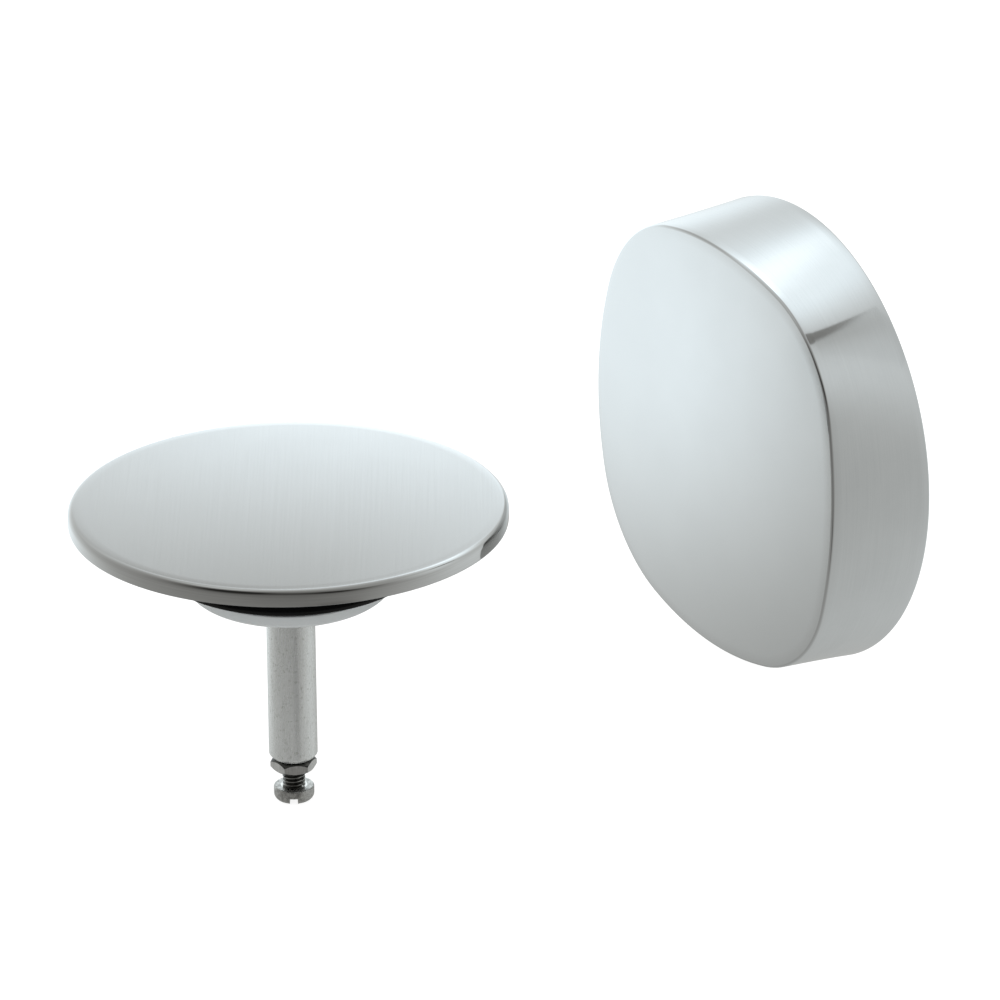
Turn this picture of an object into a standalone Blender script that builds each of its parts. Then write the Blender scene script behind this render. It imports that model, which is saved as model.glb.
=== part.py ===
# Bath waste trim: a waste plug on an adjustable stem, and the overflow knob that works it
# Metres, +Z up. The origin is the middle of the knob's wall face, and the knob faces -Y

import math

import bmesh
import bpy
from mathutils import Matrix, Vector

# Clearances, and the finest distance at which points are merged
SEAT_GAP = 0.0003
RUNNING_GAP = 0.0003
CUT_OVERRUN = 0.002
MERGE_DISTANCE = 0.00001

# Facets of round pieces
KNOB_SEGMENTS = 64
CAP_SEGMENTS = 56
BODY_SEGMENTS = 36
SHAFT_SEGMENTS = 24
SCREW_SEGMENTS = 12
ROUND_STEPS = 2
SMOOTH_ANGLE = math.radians(30)

# Knob shell: four gentle flats pinch the face, and run out to a full circle at the rear rim
KNOB_FACE_HALF = 0.038
KNOB_SIDE_ARC = 0.0695
KNOB_CORNER_ARC = 0.0248
KNOB_BACK_RADIUS = 0.0418
KNOB_DEPTH = 0.0178
KNOB_CROWN_ARC = 0.316
KNOB_EDGE_ROUND = 0.0006
KNOB_WALL = 0.0018
KNOB_RIM_ROUND = 0.0003
KNOB_STANDOFF = 0.005
KNOB_REST_TURN = math.radians(-2.5)
KNOB_FACE_SHARES = (0.3, 0.58, 0.82, 1.0)
KNOB_INSIDE_SHARES = (0.5, 1.0)
KNOB_SIDE_SHARES = (0.0, 0.5, 1.0)
KNOB_POST_COUNT = 4
KNOB_POST_RADIUS = 0.0032
KNOB_POST_CIRCLE = 0.0245
KNOB_POST_SINK = 0.0009

# Mounting plate: a spoked disc with a hollow journal
PLATE_RADIUS = 0.033
PLATE_THICKNESS = 0.0036
PLATE_ROUND = 0.0006
JOURNAL_RADIUS = 0.012
JOURNAL_BORE = 0.0092
JOURNAL_LENGTH = 0.011
WINDOW_COUNT = 4
WINDOW_INNER = 0.0156
WINDOW_OUTER = 0.0208
WINDOW_ANGLE = math.radians(62)
WINDOW_STEPS = 10
SLOT_CIRCLE = 0.0256
SLOT_WIDTH = 0.0046
SLOT_LENGTH = 0.009
SLOT_STEPS = 8
GASKET_OUTER = 0.0314
GASKET_INNER = 0.0292
GASKET_THICKNESS = 0.0012

# Stops that end the knob's quarter turn
KNOB_TRAVEL = math.radians(90)
STOP_WIDTH = 0.004
STOP_INNER = 0.029
STOP_OUTER = 0.0314
STOP_HEIGHT = 0.0042
STOP_GAP = 0.0004
STOP_SINK = 0.001
TONGUE_ANGLE = math.radians(45)

# Bearing of the knob on the journal
GLIDE_THICKNESS = 0.001
GLIDE_WIDTH = 0.0027
CLIP_WIRE = 0.0012
CLIP_OFFSET = 0.0058
CLIP_OPENING = math.radians(34)
CLIP_POINTS = 28
CLIP_BEVEL_RESOLUTION = 2

# Knob carrier: a ribbed moulding with a sleeve round the journal and a post for the drive bush
CARRIER_WEB = 0.002
CARRIER_WALL = 0.002
CARRIER_FLANGE = 0.005
CARRIER_ROUND = 0.0006
SLEEVE_WALL = 0.0026
CARRIER_FRONT_ROOM = 0.0006
RIB_COUNT = 8
RIB_WIDTH = 0.0014
RIB_HEIGHT = 0.0036
RIB_SINK = 0.0008

# Drive bush: takes the square spindle of the overflow
BUSH_RADIUS = 0.0065
BUSH_LENGTH = 0.0086
BUSH_ROUND = 0.0004
SQUARE_SOCKET = 0.0072
POST_WALL = 0.0016

# Screws that hold the carrier to the shell
CARRIER_SCREW_RADIUS = 0.0013
CARRIER_SCREW_BITE = 0.0037
CARRIER_SCREW_TIP = 0.0005
CARRIER_SCREW_HEAD_RADIUS = 0.0026
CARRIER_SCREW_HEAD_HEIGHT = 0.0017
CARRIER_SCREW_HEAD_ROUND = 0.0005

# Place of the plug in front of the knob, with its cap a little above the knob's axis
PLUG_TO_KNOB = 0.0858
CAP_TOP_RISE = 0.0085

# Plug cap: a pressed sheet with a turned-down rim
CAP_RADIUS = 0.0375
CAP_HEIGHT = 0.0029
CAP_SHEET = 0.0008
CAP_EDGE_ROUND = 0.0012
CAP_CROWN = 0.0002
CAP_CROWN_SHARES = (0.0, 0.5, 0.85)

# Cap carrier: a ribbed moulding under the cap
CAP_WEB = 0.0014
CAP_FLANGE_WALL = 0.0016
CAP_CARRIER_RECESS = 0.0002
CAP_CARRIER_ROUND = 0.0006
SEAL_SEAT_RADIUS = 0.0168
SEAL_SEAT_WALL = 0.0018
SEAL_SEAT_DROP = 0.0043
BOSS_RADIUS = 0.0075
INNER_RIB_COUNT = 8
OUTER_RIB_COUNT = 16
CAP_RIB_WIDTH = 0.0012
INNER_RIB_RECESS = 0.0008
OUTER_RIB_HEIGHT = 0.0007
CAP_RIB_SINK = 0.0006

# Threaded insert and stud that tie the cap to the stem
INSERT_RADIUS = 0.005
INSERT_HEIGHT = 0.0042
INSERT_GROOVE_DEPTH = 0.0004
INSERT_GROOVE_HEIGHT = 0.0012
STUD_RADIUS = 0.003
STUD_ENGAGED = 0.008
STUD_CHAMFER = 0.0004
STUD_TOP_RECESS = 0.0002

# Seal ring: a body with a lip that slopes out and down and ends in a thin rim
SEAL_BORE = 0.0123
SEAL_LIP_RADIUS = 0.0221
SEAL_HEIGHT = 0.0056
SEAL_OUTLINE_SHARES = (
    (0.50, 0.0), (0.60, 0.05), (0.72, 0.20), (0.87, 0.39), (0.97, 0.51), (1.0, 0.60), (0.98, 0.67),
    (0.86, 0.61), (0.70, 0.65), (0.56, 0.79), (0.50, 1.0), (0.0, 1.0), (0.0, 0.0),
)

# Valve body: a shallow bowl below the seal, with a cored neck inside it
VALVE_RADIUS = 0.0175
VALVE_FLANGE_HEIGHT = 0.0019
VALVE_LOWER_RADIUS = 0.0171
VALVE_TOP_ROUND = 0.0004
BOWL_DEPTH = 0.0042
BOWL_SHARES = ((0.94, 0.17), (0.83, 0.38), (0.66, 0.64), (0.49, 0.86))
COLLAR_WALL = 0.0016
NECK_WALL = 0.0018
NECK_TUBE_WALL = 0.0027
NECK_CORE_FLOOR = 0.0006
STEM_SOCKET_DEPTH = 0.0037

# O-ring round the stud, between the cap's boss and the neck tube
O_RING_SECTION = 0.0012
O_RING_SECTION_STEPS = 6

# Stem
STEM_RADIUS = 0.0042
STEM_LENGTH = 0.0311
STEM_CHAMFER_DROP = 0.0007
STEM_CHAMFER_INSET = 0.0006

# Lock nut and adjusting screw
NUT_ACROSS_FLATS = 0.007
NUT_HEIGHT = 0.0021
NUT_CHAMFER_DROP = 0.00035
NUT_SIDES = 6
NUT_CORNER_ANGLE = math.radians(7.5)
SCREW_RADIUS = 0.002
SCREW_ENGAGED = 0.0105
SCREW_TIP = 0.0004
SCREW_UP_TRAVEL = 0.0023
THREAD_SHOWN = 0.0031
HEAD_RADIUS = 0.0035
HEAD_HEIGHT = 0.0026
HEAD_TOP_ROUND = 0.0003
HEAD_FOOT_ROUND = 0.0008
SLOT_CUT_WIDTH = 0.0014
SLOT_CUT_DEPTH = 0.0013
SLOT_CUT_ANGLE = math.radians(-31)

# Heights on the knob's axis, counted forward from the wall
KNOB_FACE_PLANE = KNOB_STANDOFF + KNOB_DEPTH
GLIDE_REAR = PLATE_THICKNESS + SEAT_GAP
SLEEVE_REAR = GLIDE_REAR + GLIDE_THICKNESS + SEAT_GAP
JOURNAL_TOP = PLATE_THICKNESS + JOURNAL_LENGTH
CLIP_HEIGHT = SLEEVE_REAR + CLIP_OFFSET
WEB_REAR = JOURNAL_TOP + CARRIER_FRONT_ROOM
WEB_FRONT = WEB_REAR + CARRIER_WEB
POST_END = WEB_FRONT + SEAT_GAP
BUSH_TOP = WEB_REAR - SEAT_GAP
BUSH_BOTTOM = BUSH_TOP - BUSH_LENGTH

# Radii of the knob's bearing
SLEEVE_BORE = JOURNAL_RADIUS + RUNNING_GAP
SLEEVE_RADIUS = SLEEVE_BORE + SLEEVE_WALL
CLIP_MEAN_RADIUS = (JOURNAL_RADIUS + SLEEVE_BORE) / 2
CLIP_GROOVE_WIDTH = CLIP_WIRE + 2 * SEAT_GAP
CLIP_GROOVE_INNER = CLIP_MEAN_RADIUS - CLIP_WIRE / 2 - SEAT_GAP
CLIP_GROOVE_OUTER = CLIP_MEAN_RADIUS + CLIP_WIRE / 2 + SEAT_GAP
BUSH_SEAT = BUSH_RADIUS + SEAT_GAP
DRIVE_POST_RADIUS = BUSH_SEAT + POST_WALL

# Heights of the plug, counted up from the cap's lower edge
CAP_CARRIER_TOP = CAP_HEIGHT - CAP_SHEET - SEAT_GAP
CAP_WEB_BOTTOM = CAP_CARRIER_TOP - CAP_WEB
BOSS_BOTTOM = -SEAL_SEAT_DROP
INSERT_TOP = BOSS_BOTTOM + INSERT_HEIGHT
SEAL_TOP = BOSS_BOTTOM - SEAT_GAP
SEAL_BOTTOM = SEAL_TOP - SEAL_HEIGHT
VALVE_TOP = SEAL_BOTTOM - SEAT_GAP
BOWL_TOP = VALVE_TOP - VALVE_FLANGE_HEIGHT
VALVE_BOTTOM = BOWL_TOP - BOWL_DEPTH
STEM_SOCKET_TOP = VALVE_BOTTOM + STEM_SOCKET_DEPTH
NECK_TUBE_TOP = BOSS_BOTTOM - O_RING_SECTION - 2 * SEAT_GAP
STEM_TOP = STEM_SOCKET_TOP - SEAT_GAP
STEM_BOTTOM = STEM_TOP - STEM_LENGTH
STUD_TOP = INSERT_TOP - STUD_TOP_RECESS
STUD_BOTTOM = STEM_TOP - STUD_ENGAGED
NUT_TOP = STEM_BOTTOM - SEAT_GAP
NUT_BOTTOM = NUT_TOP - NUT_HEIGHT
HEAD_TOP = NUT_BOTTOM - THREAD_SHOWN
HEAD_BOTTOM = HEAD_TOP - HEAD_HEIGHT
SCREW_TIP_HEIGHT = STEM_BOTTOM + SCREW_ENGAGED

# Radii inside the plug
CAP_CARRIER_RADIUS = CAP_RADIUS - CAP_SHEET - SEAT_GAP
STUD_BORE = STUD_RADIUS + SEAT_GAP
NECK_RADIUS = SEAL_BORE - SEAT_GAP
NECK_TUBE_RADIUS = STUD_BORE + NECK_TUBE_WALL
STEM_SOCKET_RADIUS = STEM_RADIUS + SEAT_GAP
COLLAR_RADIUS = STEM_SOCKET_RADIUS + COLLAR_WALL
SCREW_BORE = SCREW_RADIUS + SEAT_GAP


# Scene and materials
def clear_scene():
    for thing in list(bpy.data.objects):
        bpy.data.objects.remove(thing, do_unlink=True)


def new_collection(name):
    collection = bpy.data.collections.new(name)
    bpy.context.scene.collection.children.link(collection)
    return collection


def make_material(name, colour, roughness, metallic):
    material = bpy.data.materials.new(name)
    material.use_nodes = True
    shader = material.node_tree.nodes["Principled BSDF"]
    shader.inputs["Base Color"].default_value = (*colour, 1.0)
    shader.inputs["Roughness"].default_value = roughness
    shader.inputs["Metallic"].default_value = metallic
    material.diffuse_color = (*colour, 1.0)
    return material


def new_empty(name, parent, place, turn):
    empty = bpy.data.objects.new(name, None)
    parts.objects.link(empty)
    empty.parent = parent
    empty.location = place
    empty.rotation_euler = turn
    return empty


def new_solid(name, mesh, parent, is_cutter=False):
    solid = bpy.data.objects.new(name, mesh)
    collection = cutters if is_cutter else parts
    collection.objects.link(solid)
    solid.parent = parent
    if is_cutter:
        solid.hide_render = True
        solid.display_type = 'WIRE'
    return solid


# Settles a finished piece as plain mesh, shaded smooth up to its true edges
def settle(solid, material):
    bpy.context.view_layer.update()
    depsgraph = bpy.context.evaluated_depsgraph_get()
    mesh = bpy.data.meshes.new_from_object(solid.evaluated_get(depsgraph))
    mesh.name = solid.name
    solid.modifiers.clear()
    solid.data = mesh
    mesh.materials.clear()
    mesh.materials.append(material)
    mesh.shade_smooth()
    mesh.set_sharp_from_angle(angle=SMOOTH_ANGLE)
    return solid


# A path of (radius, height, rounding) corners, with each rounding drawn as an arc
def rounded_path(corners, closed):
    path = []
    count = len(corners)
    for index, (radius, height, rounding) in enumerate(corners):
        here = Vector((radius, height))
        is_end = not closed and index in (0, count - 1)
        if rounding == 0 or is_end:
            path.append(here)
            continue
        before = (Vector(corners[index - 1][:2]) - here).normalized()
        after = (Vector(corners[(index + 1) % count][:2]) - here).normalized()
        half_angle = before.angle(after) / 2
        centre = here + (before + after).normalized() * rounding / math.sin(half_angle)
        start = here + before * rounding / math.tan(half_angle) - centre
        end = here + after * rounding / math.tan(half_angle) - centre
        first = math.atan2(start.y, start.x)
        sweep = (math.atan2(end.y, end.x) - first + math.pi) % (2 * math.pi) - math.pi
        for step in range(ROUND_STEPS + 1):
            angle = first + sweep * step / ROUND_STEPS
            path.append(centre + Vector((math.cos(angle), math.sin(angle))) * rounding)
    return path


# A turned solid: the outer side of the profile runs from top to bottom
def turned(name, corners, segments, parent, closed=True, is_cutter=False):
    path = rounded_path(corners, closed)
    points = [(point.x, 0, point.y) for point in path]
    edges = [(index, index + 1) for index in range(len(points) - 1)]
    if closed:
        edges.append((len(points) - 1, 0))
    mesh = bpy.data.meshes.new(name)
    mesh.from_pydata(points, edges, [])
    solid = new_solid(name, mesh, parent, is_cutter)
    screw = solid.modifiers.new("turn", 'SCREW')
    screw.axis = 'Z'
    screw.angle = 2 * math.pi
    screw.steps = segments
    screw.render_steps = segments
    screw.use_merge_vertices = True
    screw.merge_threshold = MERGE_DISTANCE
    screw.use_normal_calculate = False
    return solid


def plain(corners):
    return [(radius, height, 0) for radius, height in corners]


def cut(solid, cutter, operation='DIFFERENCE'):
    modifier = solid.modifiers.new(cutter.name, 'BOOLEAN')
    modifier.operation = operation
    modifier.solver = 'EXACT'
    modifier.object = cutter


# A flat closed outline given a height, made from a filled curve and welded
def extruded(name, outline, low, high, parent):
    curve = bpy.data.curves.new(name, 'CURVE')
    curve.dimensions = '2D'
    curve.fill_mode = 'BOTH'
    curve.extrude = (high - low) / 2
    spline = curve.splines.new('POLY')
    spline.points.add(len(outline) - 1)
    for point, (x, y) in zip(spline.points, outline):
        point.co = (x, y, 0, 1)
    spline.use_cyclic_u = True
    sketch = bpy.data.objects.new(name + "_sketch", curve)
    cutters.objects.link(sketch)
    bpy.context.view_layer.update()
    depsgraph = bpy.context.evaluated_depsgraph_get()
    mesh = bpy.data.meshes.new_from_object(sketch.evaluated_get(depsgraph))
    bpy.data.objects.remove(sketch, do_unlink=True)
    shape = bmesh.new()
    shape.from_mesh(mesh)
    bmesh.ops.remove_doubles(shape, verts=shape.verts, dist=MERGE_DISTANCE)
    bmesh.ops.translate(shape, verts=shape.verts, vec=(0, 0, (high + low) / 2))
    bmesh.ops.recalc_face_normals(shape, faces=shape.faces)
    shape.to_mesh(mesh)
    shape.free()
    return new_solid(name, mesh, parent, is_cutter=True)


# Boxes that stand out from an axis like spokes, all one size
def spokes(name, angles, inner, outer, width, low, high, parent):
    shape = bmesh.new()
    middle = Vector(((inner + outer) / 2, 0, (low + high) / 2))
    size = Matrix.Diagonal((outer - inner, width, high - low, 1))
    for angle in angles:
        place = Matrix.Rotation(angle, 4, 'Z') @ Matrix.Translation(middle) @ size
        bmesh.ops.create_cube(shape, size=1, matrix=place)
    mesh = bpy.data.meshes.new(name)
    shape.to_mesh(mesh)
    shape.free()
    return new_solid(name, mesh, parent, is_cutter=True)


# Upright round posts or drills on a circle
def pillars(name, angles, circle, radius, low, high, parent):
    shape = bmesh.new()
    for angle in angles:
        middle = Vector((circle * math.cos(angle), circle * math.sin(angle), (low + high) / 2))
        bmesh.ops.create_cone(
            shape, cap_ends=True, segments=SCREW_SEGMENTS, radius1=radius, radius2=radius,
            depth=high - low, matrix=Matrix.Translation(middle))
    mesh = bpy.data.meshes.new(name)
    shape.to_mesh(mesh)
    shape.free()
    return new_solid(name, mesh, parent, is_cutter=True)


def even_angles(count, first=0.0):
    return [first + 2 * math.pi * index / count for index in range(count)]


# Knob outline at its front edge: four side arcs joined by four tangent corner arcs
def face_radius(angle):
    side_offset = KNOB_SIDE_ARC - KNOB_FACE_HALF
    reach = KNOB_SIDE_ARC - KNOB_CORNER_ARC
    corner_offset = (math.sqrt(2 * reach ** 2 - side_offset ** 2) - side_offset) / 2
    join = math.atan2(corner_offset, corner_offset + side_offset)
    join_x = KNOB_SIDE_ARC * math.cos(join) - side_offset
    join_y = KNOB_SIDE_ARC * math.sin(join)
    quarter = math.pi / 2
    folded = abs((angle + quarter / 2) % quarter - quarter / 2)
    if folded <= math.atan2(join_y, join_x):
        run = side_offset * math.cos(folded)
        return math.sqrt(run ** 2 + KNOB_SIDE_ARC ** 2 - side_offset ** 2) - run
    run = corner_offset * (math.cos(folded) + math.sin(folded))
    return math.sqrt(run ** 2 + KNOB_CORNER_ARC ** 2 - 2 * corner_offset ** 2) + run


# Height of the crowned face at a distance from the knob's axis
def crown_height(radius):
    return KNOB_FACE_PLANE + (KNOB_FACE_HALF ** 2 - radius ** 2) / (2 * KNOB_CROWN_ARC)


# One rib line of the shell, from the middle of the face, round the rim, to the middle inside
def shell_line(angle):
    edge = face_radius(angle)
    round_radius = edge - KNOB_EDGE_ROUND
    round_height = crown_height(round_radius) - KNOB_EDGE_ROUND
    line = [(share * round_radius, crown_height(share * round_radius)) for share in KNOB_FACE_SHARES]
    for step in range(1, ROUND_STEPS + 1):
        turn = math.pi / 2 * (1 - step / ROUND_STEPS)
        line.append((round_radius + KNOB_EDGE_ROUND * math.cos(turn),
                     round_height + KNOB_EDGE_ROUND * math.sin(turn)))
    rim_height = KNOB_STANDOFF + KNOB_RIM_ROUND
    for share in KNOB_SIDE_SHARES[1:]:
        line.append((edge + (KNOB_BACK_RADIUS - edge) * share,
                     round_height + (rim_height - round_height) * share))
    line.append((KNOB_BACK_RADIUS - KNOB_RIM_ROUND, KNOB_STANDOFF))
    line.append((KNOB_BACK_RADIUS - KNOB_WALL, KNOB_STANDOFF))
    inner_edge = edge - KNOB_WALL
    inner_round = inner_edge - KNOB_EDGE_ROUND
    inner_height = crown_height(inner_round) - KNOB_WALL - KNOB_EDGE_ROUND
    inner_back = KNOB_BACK_RADIUS - KNOB_WALL
    for share in reversed(KNOB_SIDE_SHARES[:-1]):
        line.append((inner_edge + (inner_back - inner_edge) * share,
                     inner_height + (KNOB_STANDOFF - inner_height) * share))
    for share in reversed(KNOB_INSIDE_SHARES):
        line.append((share * inner_round, crown_height(share * inner_round) - KNOB_WALL))
    return line


# The shell's skin: a loft from the pinched outline to the circle, closed round the rear rim
def loft_shell(name, parent):
    shape = bmesh.new()
    lines = []
    for angle in even_angles(KNOB_SEGMENTS):
        points = shell_line(angle)
        lines.append([shape.verts.new((r * math.cos(angle), r * math.sin(angle), z)) for r, z in points])
    outer_middle = shape.verts.new((0, 0, crown_height(0)))
    inner_middle = shape.verts.new((0, 0, crown_height(0) - KNOB_WALL))
    for index, line in enumerate(lines):
        following = lines[(index + 1) % len(lines)]
        shape.faces.new((outer_middle, line[0], following[0]))
        for step in range(len(line) - 1):
            shape.faces.new((line[step], line[step + 1], following[step + 1], following[step]))
        shape.faces.new((inner_middle, following[-1], line[-1]))
    bmesh.ops.recalc_face_normals(shape, faces=shape.faces)
    mesh = bpy.data.meshes.new(name)
    shape.to_mesh(mesh)
    shape.free()
    return new_solid(name, mesh, parent)


# Knob shell with its four screw posts
def make_knob_shell():
    shell = loft_shell("knob_shell", knob_turn)
    angles = even_angles(KNOB_POST_COUNT, math.pi / KNOB_POST_COUNT)
    post_top = crown_height(KNOB_POST_CIRCLE) - KNOB_WALL + KNOB_POST_SINK
    posts = pillars("shell_posts", angles, KNOB_POST_CIRCLE, KNOB_POST_RADIUS, POST_END, post_top, knob_turn)
    cut(shell, posts, 'UNION')
    drill_top = screw_tip_height() + SEAT_GAP
    drills = pillars("shell_post_drills", angles, KNOB_POST_CIRCLE, CARRIER_SCREW_RADIUS + SEAT_GAP,
                     POST_END - CUT_OVERRUN, drill_top, knob_turn)
    cut(shell, drills)
    return settle(shell, knob_metal)


def screw_tip_height():
    return POST_END + CARRIER_SCREW_BITE


# Mounting plate: spoked disc, journal with its clip groove, gasket groove, slots and stops
def make_mounting_plate():
    groove_low = CLIP_HEIGHT - CLIP_GROOVE_WIDTH / 2
    groove_high = CLIP_HEIGHT + CLIP_GROOVE_WIDTH / 2
    gasket_room = GASKET_THICKNESS + SEAT_GAP
    plate = turned("mounting_plate", [
        (JOURNAL_RADIUS, JOURNAL_TOP, PLATE_ROUND),
        (JOURNAL_RADIUS, groove_high, 0),
        (CLIP_GROOVE_INNER, groove_high, 0),
        (CLIP_GROOVE_INNER, groove_low, 0),
        (JOURNAL_RADIUS, groove_low, 0),
        (JOURNAL_RADIUS, PLATE_THICKNESS, 0),
        (PLATE_RADIUS, PLATE_THICKNESS, PLATE_ROUND),
        (PLATE_RADIUS, 0, 0),
        (GASKET_OUTER + SEAT_GAP, 0, 0),
        (GASKET_OUTER + SEAT_GAP, gasket_room, 0),
        (GASKET_INNER - SEAT_GAP, gasket_room, 0),
        (GASKET_INNER - SEAT_GAP, 0, 0),
        (JOURNAL_BORE, 0, 0),
        (JOURNAL_BORE, JOURNAL_TOP, 0),
    ], BODY_SEGMENTS, knob_axis)
    cut(plate, plate_stops(), 'UNION')
    for index, angle in enumerate(even_angles(WINDOW_COUNT)):
        cut(plate, plate_window(index, angle))
    for index, angle in enumerate((0.0, math.pi)):
        cut(plate, plate_slot(index, angle))
    return settle(plate, plate_plastic)


# Two blocks, a quarter turn apart, that the carrier's tongue meets at the ends of its travel
def plate_stops():
    half_width = math.asin(STOP_WIDTH / 2 / STOP_INNER)
    clearance = STOP_GAP / STOP_INNER
    start = TONGUE_ANGLE + KNOB_REST_TURN
    angles = (start - 2 * half_width - clearance, start + KNOB_TRAVEL + 2 * half_width + clearance)
    return spokes("plate_stops", angles, STOP_INNER, STOP_OUTER, STOP_WIDTH,
                  PLATE_THICKNESS - STOP_SINK, PLATE_THICKNESS + STOP_HEIGHT, knob_axis)


def plate_window(index, angle):
    outline = []
    for step in range(WINDOW_STEPS + 1):
        turn = angle + WINDOW_ANGLE * (step / WINDOW_STEPS - 0.5)
        outline.append((WINDOW_OUTER * math.cos(turn), WINDOW_OUTER * math.sin(turn)))
    for step in range(WINDOW_STEPS + 1):
        turn = angle + WINDOW_ANGLE * (0.5 - step / WINDOW_STEPS)
        outline.append((WINDOW_INNER * math.cos(turn), WINDOW_INNER * math.sin(turn)))
    return extruded(f"plate_window_{index + 1}", outline, -CUT_OVERRUN,
                    PLATE_THICKNESS + CUT_OVERRUN, knob_axis)


def plate_slot(index, angle):
    straight = (SLOT_LENGTH - SLOT_WIDTH) / 2
    outline = []
    for end in (1, -1):
        for step in range(SLOT_STEPS + 1):
            turn = math.pi * step / SLOT_STEPS
            across = end * SLOT_WIDTH / 2 * math.cos(turn)
            along = end * (straight + SLOT_WIDTH / 2 * math.sin(turn))
            outline.append(((SLOT_CIRCLE + across) * math.cos(angle), along * math.cos(angle)))
    return extruded(f"plate_slot_{index + 1}", outline, -CUT_OVERRUN,
                    PLATE_THICKNESS + CUT_OVERRUN, knob_axis)


# Gasket in the groove of the plate's wall face
def make_wall_gasket():
    gasket = turned("wall_gasket", plain([
        (GASKET_OUTER, GASKET_THICKNESS),
        (GASKET_OUTER, 0),
        (GASKET_INNER, 0),
        (GASKET_INNER, GASKET_THICKNESS),
    ]), BODY_SEGMENTS, knob_axis)
    return settle(gasket, gasket_rubber)


# Glide ring between the plate and the end of the carrier's sleeve
def make_glide_ring():
    outer = SLEEVE_BORE + GLIDE_WIDTH
    glide = turned("glide_ring", plain([
        (outer, GLIDE_REAR + GLIDE_THICKNESS),
        (outer, GLIDE_REAR),
        (SLEEVE_BORE, GLIDE_REAR),
        (SLEEVE_BORE, GLIDE_REAR + GLIDE_THICKNESS),
    ]), SHAFT_SEGMENTS, knob_axis)
    return settle(glide, glide_plastic)


# Retaining ring: an open wire ring, half in the journal's groove and half in the sleeve's
def make_retaining_ring():
    curve = bpy.data.curves.new("retaining_ring", 'CURVE')
    curve.dimensions = '3D'
    curve.bevel_depth = CLIP_WIRE / 2
    curve.bevel_resolution = CLIP_BEVEL_RESOLUTION
    curve.use_fill_caps = True
    spline = curve.splines.new('POLY')
    spline.points.add(CLIP_POINTS - 1)
    for index, point in enumerate(spline.points):
        angle = CLIP_OPENING / 2 + (2 * math.pi - CLIP_OPENING) * index / (CLIP_POINTS - 1)
        point.co = (CLIP_MEAN_RADIUS * math.cos(angle), CLIP_MEAN_RADIUS * math.sin(angle), CLIP_HEIGHT, 1)
    sketch = bpy.data.objects.new("retaining_ring_sketch", curve)
    cutters.objects.link(sketch)
    bpy.context.view_layer.update()
    depsgraph = bpy.context.evaluated_depsgraph_get()
    mesh = bpy.data.meshes.new_from_object(sketch.evaluated_get(depsgraph))
    bpy.data.objects.remove(sketch, do_unlink=True)
    shape = bmesh.new()
    shape.from_mesh(mesh)
    bmesh.ops.remove_doubles(shape, verts=shape.verts, dist=MERGE_DISTANCE)
    bmesh.ops.recalc_face_normals(shape, faces=shape.faces)
    shape.to_mesh(mesh)
    shape.free()
    ring = new_solid("retaining_ring", mesh, knob_axis)
    return settle(ring, spring_steel)


# Knob carrier: web, outer flange, journal sleeve, drive post, ribs, screw holes and stop tongue
def make_knob_carrier():
    radius = carrier_radius()
    flange_rear = WEB_REAR - CARRIER_FLANGE + CARRIER_WEB
    groove_low = CLIP_HEIGHT - CLIP_GROOVE_WIDTH / 2
    groove_high = CLIP_HEIGHT + CLIP_GROOVE_WIDTH / 2
    carrier = turned("knob_carrier", [
        (0, WEB_FRONT, 0),
        (radius, WEB_FRONT, CARRIER_ROUND),
        (radius, flange_rear, 0),
        (radius - CARRIER_WALL, flange_rear, 0),
        (radius - CARRIER_WALL, WEB_REAR, 0),
        (SLEEVE_RADIUS, WEB_REAR, 0),
        (SLEEVE_RADIUS, SLEEVE_REAR, 0),
        (SLEEVE_BORE, SLEEVE_REAR, 0),
        (SLEEVE_BORE, groove_low, 0),
        (CLIP_GROOVE_OUTER, groove_low, 0),
        (CLIP_GROOVE_OUTER, groove_high, 0),
        (SLEEVE_BORE, groove_high, 0),
        (SLEEVE_BORE, WEB_REAR, 0),
        (DRIVE_POST_RADIUS, WEB_REAR, 0),
        (DRIVE_POST_RADIUS, BUSH_BOTTOM, 0),
        (BUSH_SEAT, BUSH_BOTTOM, 0),
        (BUSH_SEAT, WEB_REAR, 0),
        (0, WEB_REAR, 0),
    ], BODY_SEGMENTS, knob_turn, closed=False)
    ribs = spokes("carrier_ribs", even_angles(RIB_COUNT, math.pi / RIB_COUNT),
                  SLEEVE_RADIUS - RIB_SINK, radius - CARRIER_WALL + RIB_SINK, RIB_WIDTH,
                  WEB_REAR - RIB_HEIGHT, WEB_REAR + RIB_SINK, knob_turn)
    cut(carrier, ribs, 'UNION')
    tongue = spokes("carrier_tongue", (TONGUE_ANGLE,), STOP_INNER, STOP_OUTER, STOP_WIDTH,
                    PLATE_THICKNESS + STOP_GAP, WEB_REAR + STOP_SINK, knob_turn)
    cut(carrier, tongue, 'UNION')
    holes = pillars("carrier_holes", even_angles(KNOB_POST_COUNT, math.pi / KNOB_POST_COUNT),
                    KNOB_POST_CIRCLE, CARRIER_SCREW_RADIUS + SEAT_GAP,
                    WEB_REAR - CUT_OVERRUN, WEB_FRONT + CUT_OVERRUN, knob_turn)
    cut(carrier, holes)
    return settle(carrier, carrier_plastic)


# The carrier fills the shell up to a gap at the middle of the flats
def carrier_radius():
    share = (KNOB_FACE_PLANE - WEB_FRONT) / KNOB_DEPTH
    shell_inside = KNOB_FACE_HALF + (KNOB_BACK_RADIUS - KNOB_FACE_HALF) * share - KNOB_WALL
    return shell_inside - 2 * SEAT_GAP


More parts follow.
